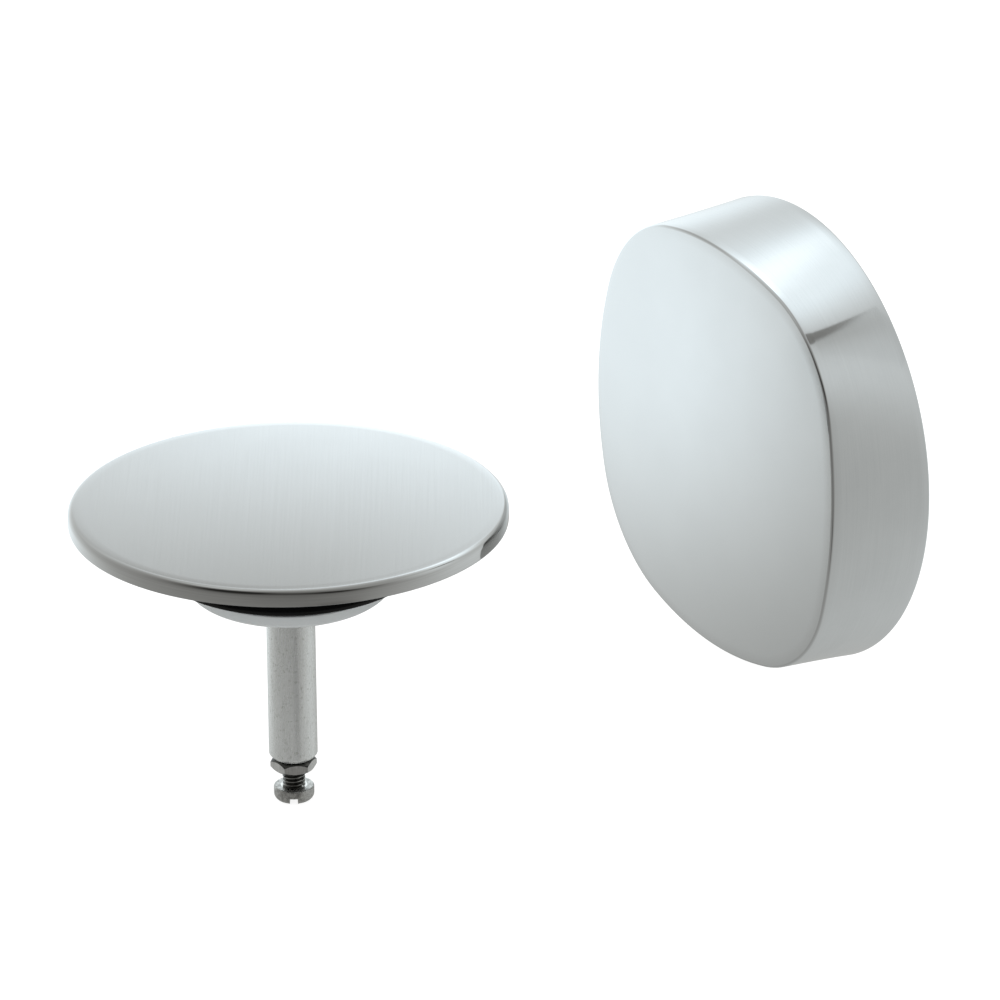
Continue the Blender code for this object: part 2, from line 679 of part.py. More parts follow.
# Drive bush with its square socket, in the carrier's post
def make_drive_bush():
    bush = turned("drive_bush", [
        (0, BUSH_TOP, 0),
        (BUSH_RADIUS, BUSH_TOP, BUSH_ROUND),
        (BUSH_RADIUS, BUSH_BOTTOM, BUSH_ROUND),
        (0, BUSH_BOTTOM, 0),
    ], SHAFT_SEGMENTS, knob_turn, closed=False)
    half = SQUARE_SOCKET / 2
    square = extruded("bush_square", [(half, half), (-half, half), (-half, -half), (half, -half)],
                      BUSH_BOTTOM - CUT_OVERRUN, BUSH_TOP + CUT_OVERRUN, knob_turn)
    cut(bush, square)
    return settle(bush, brass)


# Four screws from behind, through the carrier into the shell's posts
def make_carrier_screws():
    head_top = WEB_REAR - SEAT_GAP
    head_bottom = head_top - CARRIER_SCREW_HEAD_HEIGHT
    tip = screw_tip_height()
    for index, angle in enumerate(even_angles(KNOB_POST_COUNT, math.pi / KNOB_POST_COUNT)):
        screw = turned(f"carrier_screw_{index + 1}", [
            (0, tip, 0),
            (CARRIER_SCREW_RADIUS - CARRIER_SCREW_TIP, tip, 0),
            (CARRIER_SCREW_RADIUS, tip - CARRIER_SCREW_TIP, 0),
            (CARRIER_SCREW_RADIUS, head_top, 0),
            (CARRIER_SCREW_HEAD_RADIUS, head_top, 0),
            (CARRIER_SCREW_HEAD_RADIUS, head_bottom, CARRIER_SCREW_HEAD_ROUND),
            (0, head_bottom, 0),
        ], SCREW_SEGMENTS, knob_turn, closed=False)
        screw.location = (KNOB_POST_CIRCLE * math.cos(angle), KNOB_POST_CIRCLE * math.sin(angle), 0)
        settle(screw, screw_steel)


# Plug cap: crowned sheet with a rounded edge and a short rim
def make_plug_cap():
    top = [(share * CAP_RADIUS, CAP_HEIGHT + CAP_CROWN * (1 - share ** 2), 0) for share in CAP_CROWN_SHARES]
    under = [(radius, height - CAP_SHEET, 0) for radius, height, rounding in reversed(top)]
    inside = CAP_RADIUS - CAP_SHEET
    cap = turned("plug_cap", top + [
        (CAP_RADIUS, CAP_HEIGHT, CAP_EDGE_ROUND),
        (CAP_RADIUS, 0, 0),
        (inside, 0, 0),
        (inside, CAP_HEIGHT - CAP_SHEET, CAP_EDGE_ROUND - CAP_SHEET),
    ] + under, CAP_SEGMENTS, plug_axis, closed=False)
    return settle(cap, cap_metal)


# Cap carrier: web under the cap, rim flange, seal seat, insert boss and two rings of ribs
def make_cap_carrier():
    bore = INSERT_RADIUS + SEAT_GAP
    carrier = turned("cap_carrier", [
        (0, CAP_CARRIER_TOP, 0),
        (CAP_CARRIER_RADIUS, CAP_CARRIER_TOP, CAP_CARRIER_ROUND),
        (CAP_CARRIER_RADIUS, CAP_CARRIER_RECESS, 0),
        (CAP_CARRIER_RADIUS - CAP_FLANGE_WALL, CAP_CARRIER_RECESS, 0),
        (CAP_CARRIER_RADIUS - CAP_FLANGE_WALL, CAP_WEB_BOTTOM, 0),
        (SEAL_SEAT_RADIUS, CAP_WEB_BOTTOM, 0),
        (SEAL_SEAT_RADIUS, BOSS_BOTTOM, 0),
        (SEAL_SEAT_RADIUS - SEAL_SEAT_WALL, BOSS_BOTTOM, 0),
        (SEAL_SEAT_RADIUS - SEAL_SEAT_WALL, CAP_WEB_BOTTOM, 0),
        (BOSS_RADIUS, CAP_WEB_BOTTOM, 0),
        (BOSS_RADIUS, BOSS_BOTTOM, 0),
        (bore, BOSS_BOTTOM, 0),
        (bore, INSERT_TOP + SEAT_GAP, 0),
        (0, INSERT_TOP + SEAT_GAP, 0),
    ], BODY_SEGMENTS, plug_axis, closed=False)
    seat_inner = SEAL_SEAT_RADIUS - SEAL_SEAT_WALL
    inner_ribs = spokes("cap_inner_ribs", even_angles(INNER_RIB_COUNT), BOSS_RADIUS - CAP_RIB_SINK,
                        seat_inner + CAP_RIB_SINK, CAP_RIB_WIDTH, BOSS_BOTTOM + INNER_RIB_RECESS,
                        CAP_WEB_BOTTOM + CAP_RIB_SINK, plug_axis)
    cut(carrier, inner_ribs, 'UNION')
    flange_inner = CAP_CARRIER_RADIUS - CAP_FLANGE_WALL
    outer_ribs = spokes("cap_outer_ribs", even_angles(OUTER_RIB_COUNT), SEAL_SEAT_RADIUS - CAP_RIB_SINK,
                        flange_inner + CAP_RIB_SINK, CAP_RIB_WIDTH, CAP_WEB_BOTTOM - OUTER_RIB_HEIGHT,
                        CAP_WEB_BOTTOM + CAP_RIB_SINK, plug_axis)
    cut(carrier, outer_ribs, 'UNION')
    return settle(carrier, cap_plastic)


# Threaded brass insert in the carrier's boss
def make_cap_insert():
    middle = (INSERT_TOP + BOSS_BOTTOM) / 2
    waist = INSERT_RADIUS - INSERT_GROOVE_DEPTH
    half = INSERT_GROOVE_HEIGHT / 2
    insert = turned("cap_insert", plain([
        (INSERT_RADIUS, INSERT_TOP),
        (INSERT_RADIUS, middle + half),
        (waist, middle + half),
        (waist, middle - half),
        (INSERT_RADIUS, middle - half),
        (INSERT_RADIUS, BOSS_BOTTOM),
        (STUD_BORE, BOSS_BOTTOM),
        (STUD_BORE, INSERT_TOP),
    ]), SHAFT_SEGMENTS, plug_axis)
    return settle(insert, brass)


# Seal ring between the cap carrier and the valve body
def make_seal_ring():
    span = SEAL_LIP_RADIUS - SEAL_BORE
    outline = [(SEAL_BORE + out * span, SEAL_TOP - down * SEAL_HEIGHT) for out, down in SEAL_OUTLINE_SHARES]
    seal = turned("seal_ring", plain(outline), BODY_SEGMENTS, plug_axis)
    return settle(seal, seal_rubber)


# Valve body: flange below the seal, shallow bowl, stem socket and cored neck
def make_valve_body():
    bowl_span = VALVE_LOWER_RADIUS
    bowl = [(out * bowl_span, BOWL_TOP - down * BOWL_DEPTH, 0) for out, down in BOWL_SHARES]
    core_floor = VALVE_TOP + NECK_CORE_FLOOR
    neck_inner = NECK_RADIUS - NECK_WALL
    valve = turned("valve_body", [
        (NECK_RADIUS, SEAL_TOP, VALVE_TOP_ROUND),
        (NECK_RADIUS, VALVE_TOP, 0),
        (VALVE_RADIUS, VALVE_TOP, VALVE_TOP_ROUND),
        (VALVE_LOWER_RADIUS, BOWL_TOP, 0),
    ] + bowl + [
        (COLLAR_RADIUS, VALVE_BOTTOM, 0),
        (STEM_SOCKET_RADIUS, VALVE_BOTTOM, 0),
        (STEM_SOCKET_RADIUS, STEM_SOCKET_TOP, 0),
        (STUD_BORE, STEM_SOCKET_TOP, 0),
        (STUD_BORE, NECK_TUBE_TOP, 0),
        (NECK_TUBE_RADIUS, NECK_TUBE_TOP, 0),
        (NECK_TUBE_RADIUS, core_floor, 0),
        (neck_inner, core_floor, 0),
        (neck_inner, SEAL_TOP, 0),
    ], BODY_SEGMENTS, plug_axis)
    return settle(valve, valve_plastic)


# O-ring round the stud
def make_neck_o_ring():
    section = O_RING_SECTION / 2
    centre_radius = STUD_BORE + section
    centre_height = BOSS_BOTTOM - SEAT_GAP - section
    corners = []
    for step in range(O_RING_SECTION_STEPS):
        turn = -2 * math.pi * step / O_RING_SECTION_STEPS
        corners.append((centre_radius + section * math.cos(turn), centre_height + section * math.sin(turn)))
    ring = turned("neck_o_ring", plain(corners), SHAFT_SEGMENTS, plug_axis)
    return settle(ring, seal_rubber)


# Stud from the cap insert down into the stem
def make_stem_stud():
    stud = turned("stem_stud", plain([
        (0, STUD_TOP),
        (STUD_RADIUS - STUD_CHAMFER, STUD_TOP),
        (STUD_RADIUS, STUD_TOP - STUD_CHAMFER),
        (STUD_RADIUS, STUD_BOTTOM + STUD_CHAMFER),
        (STUD_RADIUS - STUD_CHAMFER, STUD_BOTTOM),
        (0, STUD_BOTTOM),
    ]), SHAFT_SEGMENTS, plug_axis, closed=False)
    return settle(stud, screw_steel)


# Stem with a blind bore at each end
def make_stem():
    stud_room = STUD_BOTTOM - SEAT_GAP
    screw_room = SCREW_TIP_HEIGHT + SCREW_UP_TRAVEL + SEAT_GAP
    stem = turned("stem", plain([
        (0, stud_room),
        (STUD_BORE, stud_room),
        (STUD_BORE, STEM_TOP),
        (STEM_RADIUS, STEM_TOP),
        (STEM_RADIUS, STEM_BOTTOM + STEM_CHAMFER_DROP),
        (STEM_RADIUS - STEM_CHAMFER_INSET, STEM_BOTTOM),
        (SCREW_BORE, STEM_BOTTOM),
        (SCREW_BORE, screw_room),
        (0, screw_room),
    ]), SHAFT_SEGMENTS, plug_axis, closed=False)
    return settle(stem, stem_metal)


# Lock nut: a hexagon whose corners are cut by a cone at both ends
def make_lock_nut():
    corner_radius = NUT_ACROSS_FLATS / math.sqrt(3)
    outline = []
    for angle in even_angles(NUT_SIDES, NUT_CORNER_ANGLE):
        outline.append((corner_radius * math.cos(angle), corner_radius * math.sin(angle)))
    hexagon = extruded("nut_hexagon", outline, NUT_BOTTOM - CUT_OVERRUN, NUT_TOP + CUT_OVERRUN, plug_axis)
    chamfer_radius = NUT_ACROSS_FLATS / 2
    nut = turned("lock_nut", plain([
        (chamfer_radius, NUT_TOP),
        (corner_radius + SEAT_GAP, NUT_TOP - NUT_CHAMFER_DROP),
        (corner_radius + SEAT_GAP, NUT_BOTTOM + NUT_CHAMFER_DROP),
        (chamfer_radius, NUT_BOTTOM),
        (SCREW_BORE, NUT_BOTTOM),
        (SCREW_BORE, NUT_TOP),
    ]), SHAFT_SEGMENTS, plug_axis)
    cut(nut, hexagon, 'INTERSECT')
    return settle(nut, nut_steel)


# Adjusting screw: cheese head with a slot in its lower face
def make_adjusting_screw():
    screw = turned("adjusting_screw", [
        (0, SCREW_TIP_HEIGHT, 0),
        (SCREW_RADIUS - SCREW_TIP, SCREW_TIP_HEIGHT, 0),
        (SCREW_RADIUS, SCREW_TIP_HEIGHT - SCREW_TIP, 0),
        (SCREW_RADIUS, HEAD_TOP, 0),
        (HEAD_RADIUS, HEAD_TOP, HEAD_TOP_ROUND),
        (HEAD_RADIUS, HEAD_BOTTOM, HEAD_FOOT_ROUND),
        (0, HEAD_BOTTOM, 0),
    ], SHAFT_SEGMENTS, plug_axis, closed=False)
    reach = HEAD_RADIUS + CUT_OVERRUN
    slot = spokes("screw_slot", (SLOT_CUT_ANGLE,), -reach, reach, SLOT_CUT_WIDTH,
                  HEAD_BOTTOM - CUT_OVERRUN, HEAD_BOTTOM + SLOT_CUT_DEPTH, plug_axis)
    cut(screw, slot)
    return settle(screw, nickel_steel)


clear_scene()
parts = new_collection("bath_waste_trim")
cutters = new_collection("trim_cutters")

knob_metal = make_material("satin_nickel_knob", (0.74, 0.77, 0.78), 0.3, 1.0)
cap_metal = make_material("brushed_steel_cap", (0.68, 0.71, 0.72), 0.28, 1.0)
stem_metal = make_material("drawn_metal_stem", (0.62, 0.65, 0.66), 0.38, 1.0)
nut_steel = make_material("plain_steel_nut", (0.46, 0.47, 0.46), 0.35, 1.0)
nickel_steel = make_material("nickel_screw", (0.72, 0.72, 0.70), 0.22, 1.0)
screw_steel = make_material("zinc_steel", (0.55, 0.57, 0.58), 0.35, 1.0)
spring_steel = make_material("spring_steel", (0.40, 0.41, 0.42), 0.3, 1.0)
brass = make_material("brass", (0.72, 0.56, 0.27), 0.35, 1.0)
seal_rubber = make_material("black_rubber", (0.012, 0.012, 0.013), 0.35, 0.0)
gasket_rubber = make_material("grey_rubber", (0.12, 0.12, 0.12), 0.7, 0.0)
valve_plastic = make_material("light_grey_plastic", (0.58, 0.60, 0.61), 0.45, 0.0)
cap_plastic = make_material("dark_plastic", (0.03, 0.03, 0.032), 0.5, 0.0)
carrier_plastic = make_material("white_plastic", (0.76, 0.77, 0.76), 0.45, 0.0)
plate_plastic = make_material("grey_plastic", (0.45, 0.46, 0.47), 0.5, 0.0)
glide_plastic = make_material("natural_plastic", (0.85, 0.84, 0.80), 0.4, 0.0)

knob_axis = new_empty("knob_axis", None, (0, 0, 0), (math.pi / 2, 0, 0))
knob_turn = new_empty("knob_turn", knob_axis, (0, 0, 0), (0, 0, KNOB_REST_TURN))
plug_place = (0, -(KNOB_FACE_PLANE + PLUG_TO_KNOB), CAP_TOP_RISE - CAP_HEIGHT)
plug_axis = new_empty("plug_axis", None, plug_place, (0, 0, 0))

make_mounting_plate()
make_wall_gasket()
make_glide_ring()
make_retaining_ring()
make_knob_shell()
make_knob_carrier()
make_drive_bush()
make_carrier_screws()
make_plug_cap()
make_cap_carrier()
make_cap_insert()
make_seal_ring()
make_valve_body()
make_neck_o_ring()
make_stem_stud()
make_stem()
make_lock_nut()
make_adjusting_screw()

bpy.context.view_layer.update()
for piece in parts.objects:
    if piece.type == 'MESH':
        print(piece.name, len(piece.data.polygons), "faces")
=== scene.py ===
import math

import bmesh
import bpy
from mathutils import Matrix, Vector


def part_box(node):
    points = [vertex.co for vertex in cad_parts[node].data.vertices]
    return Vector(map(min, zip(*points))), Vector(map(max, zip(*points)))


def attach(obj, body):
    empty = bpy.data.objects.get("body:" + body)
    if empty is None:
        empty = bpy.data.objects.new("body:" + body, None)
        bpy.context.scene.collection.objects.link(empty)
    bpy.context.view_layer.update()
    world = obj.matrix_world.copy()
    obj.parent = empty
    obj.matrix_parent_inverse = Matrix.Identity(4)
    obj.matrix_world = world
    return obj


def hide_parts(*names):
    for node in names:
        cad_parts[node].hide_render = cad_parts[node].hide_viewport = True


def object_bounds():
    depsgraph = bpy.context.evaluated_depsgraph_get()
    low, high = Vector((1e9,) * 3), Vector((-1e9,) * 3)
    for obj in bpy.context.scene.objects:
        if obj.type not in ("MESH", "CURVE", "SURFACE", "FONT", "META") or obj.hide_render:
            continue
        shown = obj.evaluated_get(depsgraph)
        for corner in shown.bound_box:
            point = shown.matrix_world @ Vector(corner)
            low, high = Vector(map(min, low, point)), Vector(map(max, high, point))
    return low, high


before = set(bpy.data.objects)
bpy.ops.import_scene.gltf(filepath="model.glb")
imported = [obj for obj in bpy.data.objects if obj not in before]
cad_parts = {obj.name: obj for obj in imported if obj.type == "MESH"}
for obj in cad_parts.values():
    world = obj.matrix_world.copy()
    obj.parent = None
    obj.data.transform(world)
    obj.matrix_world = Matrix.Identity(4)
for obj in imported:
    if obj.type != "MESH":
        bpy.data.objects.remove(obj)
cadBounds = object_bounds()
print("frame loaded:", len(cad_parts), "CAD nodes")

mm = 0.001
fullTurn = 2 * math.pi
quarterTurn = math.pi / 2
weld = 0.002 * mm  # vertices nearer than this become one
planeSlack = weld / 10  # vertices nearer than this lie on a cutting plane
angleSlack = 0.001
spare = 1.0  # how far a cutter or a joined block reaches past the face it meets, in mm
roundSegments, blockSegments = 5, 3  # facets across a rounded edge of a turned piece and of a block
pinSegments, wireSegments = 48, 20  # facets round a pin and round a wire
curveSteps = 4  # points on a smooth run for each one given
bumpDepth = 0.02 * mm
lengthOnMap, turnOnMap = 12, 0.5  # a metre and a radian on the UV map of the brushing


def aboutZ(degrees):
    return Matrix.Rotation(math.radians(degrees), 4, 'Z')


# The plug's heights are counted up from the cap's lower edge, the knob's forward from the wall
knobTurn = -2.5  # degrees
capLow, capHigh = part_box("plug_cap")
plugPlace = Matrix.Translation((0, (capLow.y + capHigh.y) / 2, capLow.z))
wallPlace = Matrix.Rotation(quarterTurn, 4, 'X')
knobPlace = wallPlace @ aboutZ(knobTurn)


def plugHeights(node):  # where a node of the plug starts and ends on its axis, in mm
    low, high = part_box(node)
    return (low.z - capLow.z) / mm, (high.z - capLow.z) / mm


# A shape is a bmesh round the Z axis, and newPiece puts it in place
def tidied(shape):
    bmesh.ops.remove_doubles(shape, verts=shape.verts, dist=weld)
    bmesh.ops.recalc_face_normals(shape, faces=shape.faces)
    return shape


def rounded(shape, geom, radius, affect, segments):  # rounds corners or edges by a radius in mm
    bmesh.ops.bevel(shape, geom=geom, offset=radius * mm, offset_type='OFFSET', affect=affect,
                    segments=segments, profile=0.5, material=-1)


def spun(shape, steps):  # spins an outline a full turn
    bmesh.ops.spin(shape, geom=shape.verts[:] + shape.edges[:], cent=(0, 0, 0), axis=(0, 0, 1),
                   dvec=(0, 0, 0), angle=fullTurn, steps=steps, use_merge=True, use_duplicate=False)
    return tidied(shape)


def turned(profile, steps, closed=True):  # spins (radius, height, rounding) points in mm
    shape = bmesh.new()
    verts = [shape.verts.new((radius * mm, 0, height * mm)) for radius, height, rounding in profile]
    for first, second in zip(verts, verts[1:]):
        shape.edges.new((first, second))
    if closed:
        shape.edges.new((verts[-1], verts[0]))
    for vert, (radius, height, rounding) in zip(verts, profile):
        if rounding:
            rounded(shape, [vert], rounding, 'VERTICES', roundSegments)
    return spun(shape, steps)


def swept(shape, middle, width, steps):  # sweeps the face in a shape through part of a turn
    start = Matrix.Rotation(middle - width / 2, 3, 'Z')
    bmesh.ops.rotate(shape, verts=shape.verts, cent=(0, 0, 0), matrix=start)
    bmesh.ops.spin(shape, geom=shape.verts[:] + shape.edges[:] + shape.faces[:], cent=(0, 0, 0),
                   axis=(0, 0, 1), dvec=(0, 0, 0), angle=width, steps=steps, use_merge=False,
                   use_duplicate=False)
    return tidied(shape)


def smoothRun(points):  # a Catmull-Rom run through a few profile points
    run = []
    padded = [points[0]] + list(points) + [points[-1]]
    for before, here, after, beyond in zip(padded, padded[1:], padded[2:], padded[3:]):
        for step in range(curveSteps):
            t = step / curveSteps
            run.append(tuple(0.5 * (2 * b + (c - a) * t + (2 * a - 5 * b + 4 * c - d) * t ** 2
                                    + (3 * b - a - 3 * c + d) * t ** 3)
                             for a, b, c, d in zip(before, here, after, beyond)) + (0,))
    run.append(tuple(points[-1]) + (0,))
    return run


def evenly(count, first=0.0):
    return [first + 360 * index / count for index in range(count)]


def blocks(angles, inner, outer, width, low, high, corner=0.0):  # bars that stand out from the axis
    shape = bmesh.new()
    size = Matrix.Diagonal(((outer - inner) * mm, width * mm, (high - low) * mm, 1))
    middle = Matrix.Translation(((inner + outer) / 2 * mm, 0, (low + high) / 2 * mm))
    for angle in angles:
        bmesh.ops.create_cube(shape, size=1, matrix=aboutZ(angle) @ middle @ size)
    if corner:
        rounded(shape, shape.edges[:], corner, 'EDGES', blockSegments)
    return tidied(shape)


def pins(angles, circle, radius, low, high):  # round pins on a circle
    shape = bmesh.new()
    for angle in angles:
        spot = aboutZ(angle) @ Matrix.Translation((circle * mm, 0, (low + high) / 2 * mm))
        bmesh.ops.create_cone(shape, cap_ends=True, segments=pinSegments, radius1=radius * mm,
                              radius2=radius * mm, depth=(high - low) * mm, matrix=spot)
    return tidied(shape)


def sliceOff(shape, point, outward):  # cuts away what lies past a plane and closes the cut
    sliced = bmesh.ops.bisect_plane(
        shape, geom=shape.verts[:] + shape.edges[:] + shape.faces[:], dist=planeSlack,
        plane_co=point, plane_no=outward, clear_outer=True)
    rim = [part for part in sliced["geom_cut"] if isinstance(part, bmesh.types.BMEdge)]
    bmesh.ops.edgeloop_fill(shape, edges=rim)


# One pitch of thread: how far out from root to crest, then how far along
threadOutline = ((0.875, 0), (1, 0.04), (1, 0.1), (0.875, 0.14), (0.125, 0.46), (0, 0.52), (0, 0.62),
                 (0.125, 0.68), (0.875, 1))


def threaded(size, low, high):  # a threaded rod, wound with the pitch and cut square at both ends
    shape = bmesh.new()
    root, pitch, steps = size["root"], size["pitch"], size["stepsPerTurn"]
    depth = size["crest"] - root
    start = low - 2 * pitch  # the winding's ragged ends lie past both cuts
    turns = math.ceil((high - start) / pitch) + 1
    verts = [shape.verts.new(((root + out * depth) * mm, 0, (start + along * pitch) * mm))
             for out, along in threadOutline]
    edges = [shape.edges.new(pair) for pair in zip(verts, verts[1:])]
    bmesh.ops.spin(shape, geom=verts + edges, cent=(0, 0, 0), axis=(0, 0, 1), angle=fullTurn * turns,
                   steps=turns * steps, dvec=(0, 0, pitch / steps * mm), use_merge=False,
                   use_duplicate=False)
    tidied(shape)
    sliceOff(shape, (0, 0, low * mm), (0, 0, -1))
    sliceOff(shape, (0, 0, high * mm), (0, 0, 1))
    return tidied(shape)


# A piece is an object at the origin, with its place in its mesh
def newPiece(shape, name, place):
    mesh = bpy.data.meshes.new(name)
    bmesh.ops.transform(shape, matrix=place, verts=shape.verts)
    shape.to_mesh(mesh)
    shape.free()
    piece = bpy.data.objects.new(name, mesh)
    bpy.context.scene.collection.objects.link(piece)
    return piece


def carve(piece, shape, place, how='DIFFERENCE'):  # cuts a shape out of a piece, or joins it on
    tool = newPiece(shape, piece.name + "Tool", place)
    carving = piece.modifiers.new("carve", 'BOOLEAN')
    carving.operation = how
    carving.solver = 'EXACT'
    carving.object = tool
    bpy.context.view_layer.update()
    carved = piece.evaluated_get(bpy.context.evaluated_depsgraph_get())
    old = piece.data
    piece.data = bpy.data.meshes.new_from_object(carved)
    piece.modifiers.clear()
    piece.data.name = piece.name
    bpy.data.meshes.remove(old)
    bpy.data.objects.remove(tool)


def brushMap(piece, rule):  # lays the piece's own UV map out along its brushing
    layer = piece.data.uv_layers.new(name="brushing")
    for face in piece.data.polygons:
        for loop in face.loop_indices:
            spot = piece.data.vertices[piece.data.loops[loop].vertex_index].co
            layer.data[loop].uv = rule(spot, face.normal)


# Gives a piece its finishes and smooth shading, hangs it on its body and hides the CAD node that it
# stands for
def dress(piece, body, node, finishNames, choose=None, smoothAngle=32):
    for name in finishNames:
        piece.data.materials.append(finishes[name])
    if choose:
        for face in piece.data.polygons:
            face.material_index = choose(face)
    piece.data.shade_smooth()
    piece.data.set_sharp_from_angle(angle=math.radians(smoothAngle))
    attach(piece, body)
    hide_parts(node)


# Finishes are procedural and read Object coordinates
def setSockets(tree, made, sockets):
    for name, value in sockets.items():
        if isinstance(value, bpy.types.NodeSocket):
            tree.links.new(value, made.inputs[name])
        else:
            made.inputs[name].default_value = value


def addNode(tree, kind, sockets, output=0, **settings):  # adds a node and gives one of its outputs
    made = tree.nodes.new(kind)
    for name, value in settings.items():
        setattr(made, name, value)
    setSockets(tree, made, sockets)
    return made.outputs[output]


def mathNode(tree, operation, *values):
    return addNode(tree, "ShaderNodeMath", dict(enumerate(values)), operation=operation)


def newFinish(name, metallic):
    finish = bpy.data.materials.new(name)
    finish.use_nodes = True
    shader = finish.node_tree.nodes["Principled BSDF"]
    shader.inputs["Metallic"].default_value = metallic
    coords = finish.node_tree.nodes.new("ShaderNodeTexCoord")
    return finish, finish.node_tree, shader, coords.outputs["Object"]


def mixColours(tree, factor, dark, light):  # sockets 6 and 7 are a Mix node's two colours
    return addNode(tree, "ShaderNodeMix", {0: factor, 6: (*dark, 1), 7: (*light, 1)}, output=2,
                   data_type='RGBA')


def noise(tree, coords, size, detail, turn=0.0):  # noise whose cells have the given size in mm
    if not isinstance(size, tuple):
        size = (size, size, size)
    laid = addNode(tree, "ShaderNodeMapping", {
        "Vector": coords, "Rotation": (0, 0, math.radians(turn)),
        "Scale": tuple(side * mm for side in size)}, vector_type='TEXTURE')
    return addNode(tree, "ShaderNodeTexNoise", {
        "Vector": laid, "Scale": 1.0, "Detail": detail, "Roughness": 0.6})


def spread(tree, value, low, high):  # stretches the middle of a noise to a range
    return addNode(tree, "ShaderNodeMapRange", {
        "Value": value, "From Min": 0.3, "From Max": 0.7, "To Min": low, "To Max": high})


def relieve(tree, shader, height, strength):  # gives the shader's surface a fine relief
    bump = addNode(tree, "ShaderNodeBump", {
        "Height": height, "Strength": strength, "Distance": bumpDepth})
    tree.links.new(bump, shader.inputs["Normal"])


def metalFinish(name, look):
    finish, tree, shader, coords = newFinish(name, look.get("metallic", 1.0))
    grain = noise(tree, coords, look["grain"], 4.0, look.get("grainTurn", 0.0))
    mottle = noise(tree, coords, look["mottle"], 5.0)
    shade = mathNode(tree, 'ADD', spread(tree, grain, 0.0, look["grainTone"]),
                     spread(tree, mottle, 0.0, look["mottleTone"]))
    if look.get("specks"):  # small dark pits in the surface
        pits = addNode(tree, "ShaderNodeMapRange", {
            "Value": noise(tree, coords, look["specks"], 2.0), "From Min": 0.60, "From Max": 0.68,
            "To Min": 0.0, "To Max": look["speckTone"]})
        shade = mathNode(tree, 'ADD', shade, pits)
    setSockets(tree, shader, {
        "Base Color": mixColours(tree, shade, look["light"], look["dark"]),
        "Roughness": spread(tree, mottle, *look["rough"])})
    relief = mathNode(tree, 'MULTIPLY_ADD', mottle, look.get("mottleRelief", 0.0), grain)
    relieve(tree, shader, relief, look["bump"])
    if look.get("anisotropy"):
        tangent = addNode(tree, "ShaderNodeTangent", {}, direction_type='UV_MAP', uv_map="brushing")
        setSockets(tree, shader, {"Tangent": tangent, "Anisotropic": look["anisotropy"]})
    return finish


def mouldedFinish(name, look):
    finish, tree, shader, coords = newFinish(name, 0.0)
    mottle = noise(tree, coords, look["mottle"], 4.0)
    grain = noise(tree, coords, look["grain"], 3.0)
    setSockets(tree, shader, {
        "Base Color": mixColours(tree, mottle, look["dark"], look["light"]),
        "Roughness": spread(tree, mottle, *look["rough"]), "IOR": look.get("ior", 1.5)})
    relieve(tree, shader, grain, look["bump"])
    if look.get("glowThrough"):
        setSockets(tree, shader, {
            "Subsurface Weight": look["glowThrough"], "Subsurface Scale": 1.0,
            "Subsurface Radius": (0.9 * mm, 0.8 * mm, 0.7 * mm)})
    return finish


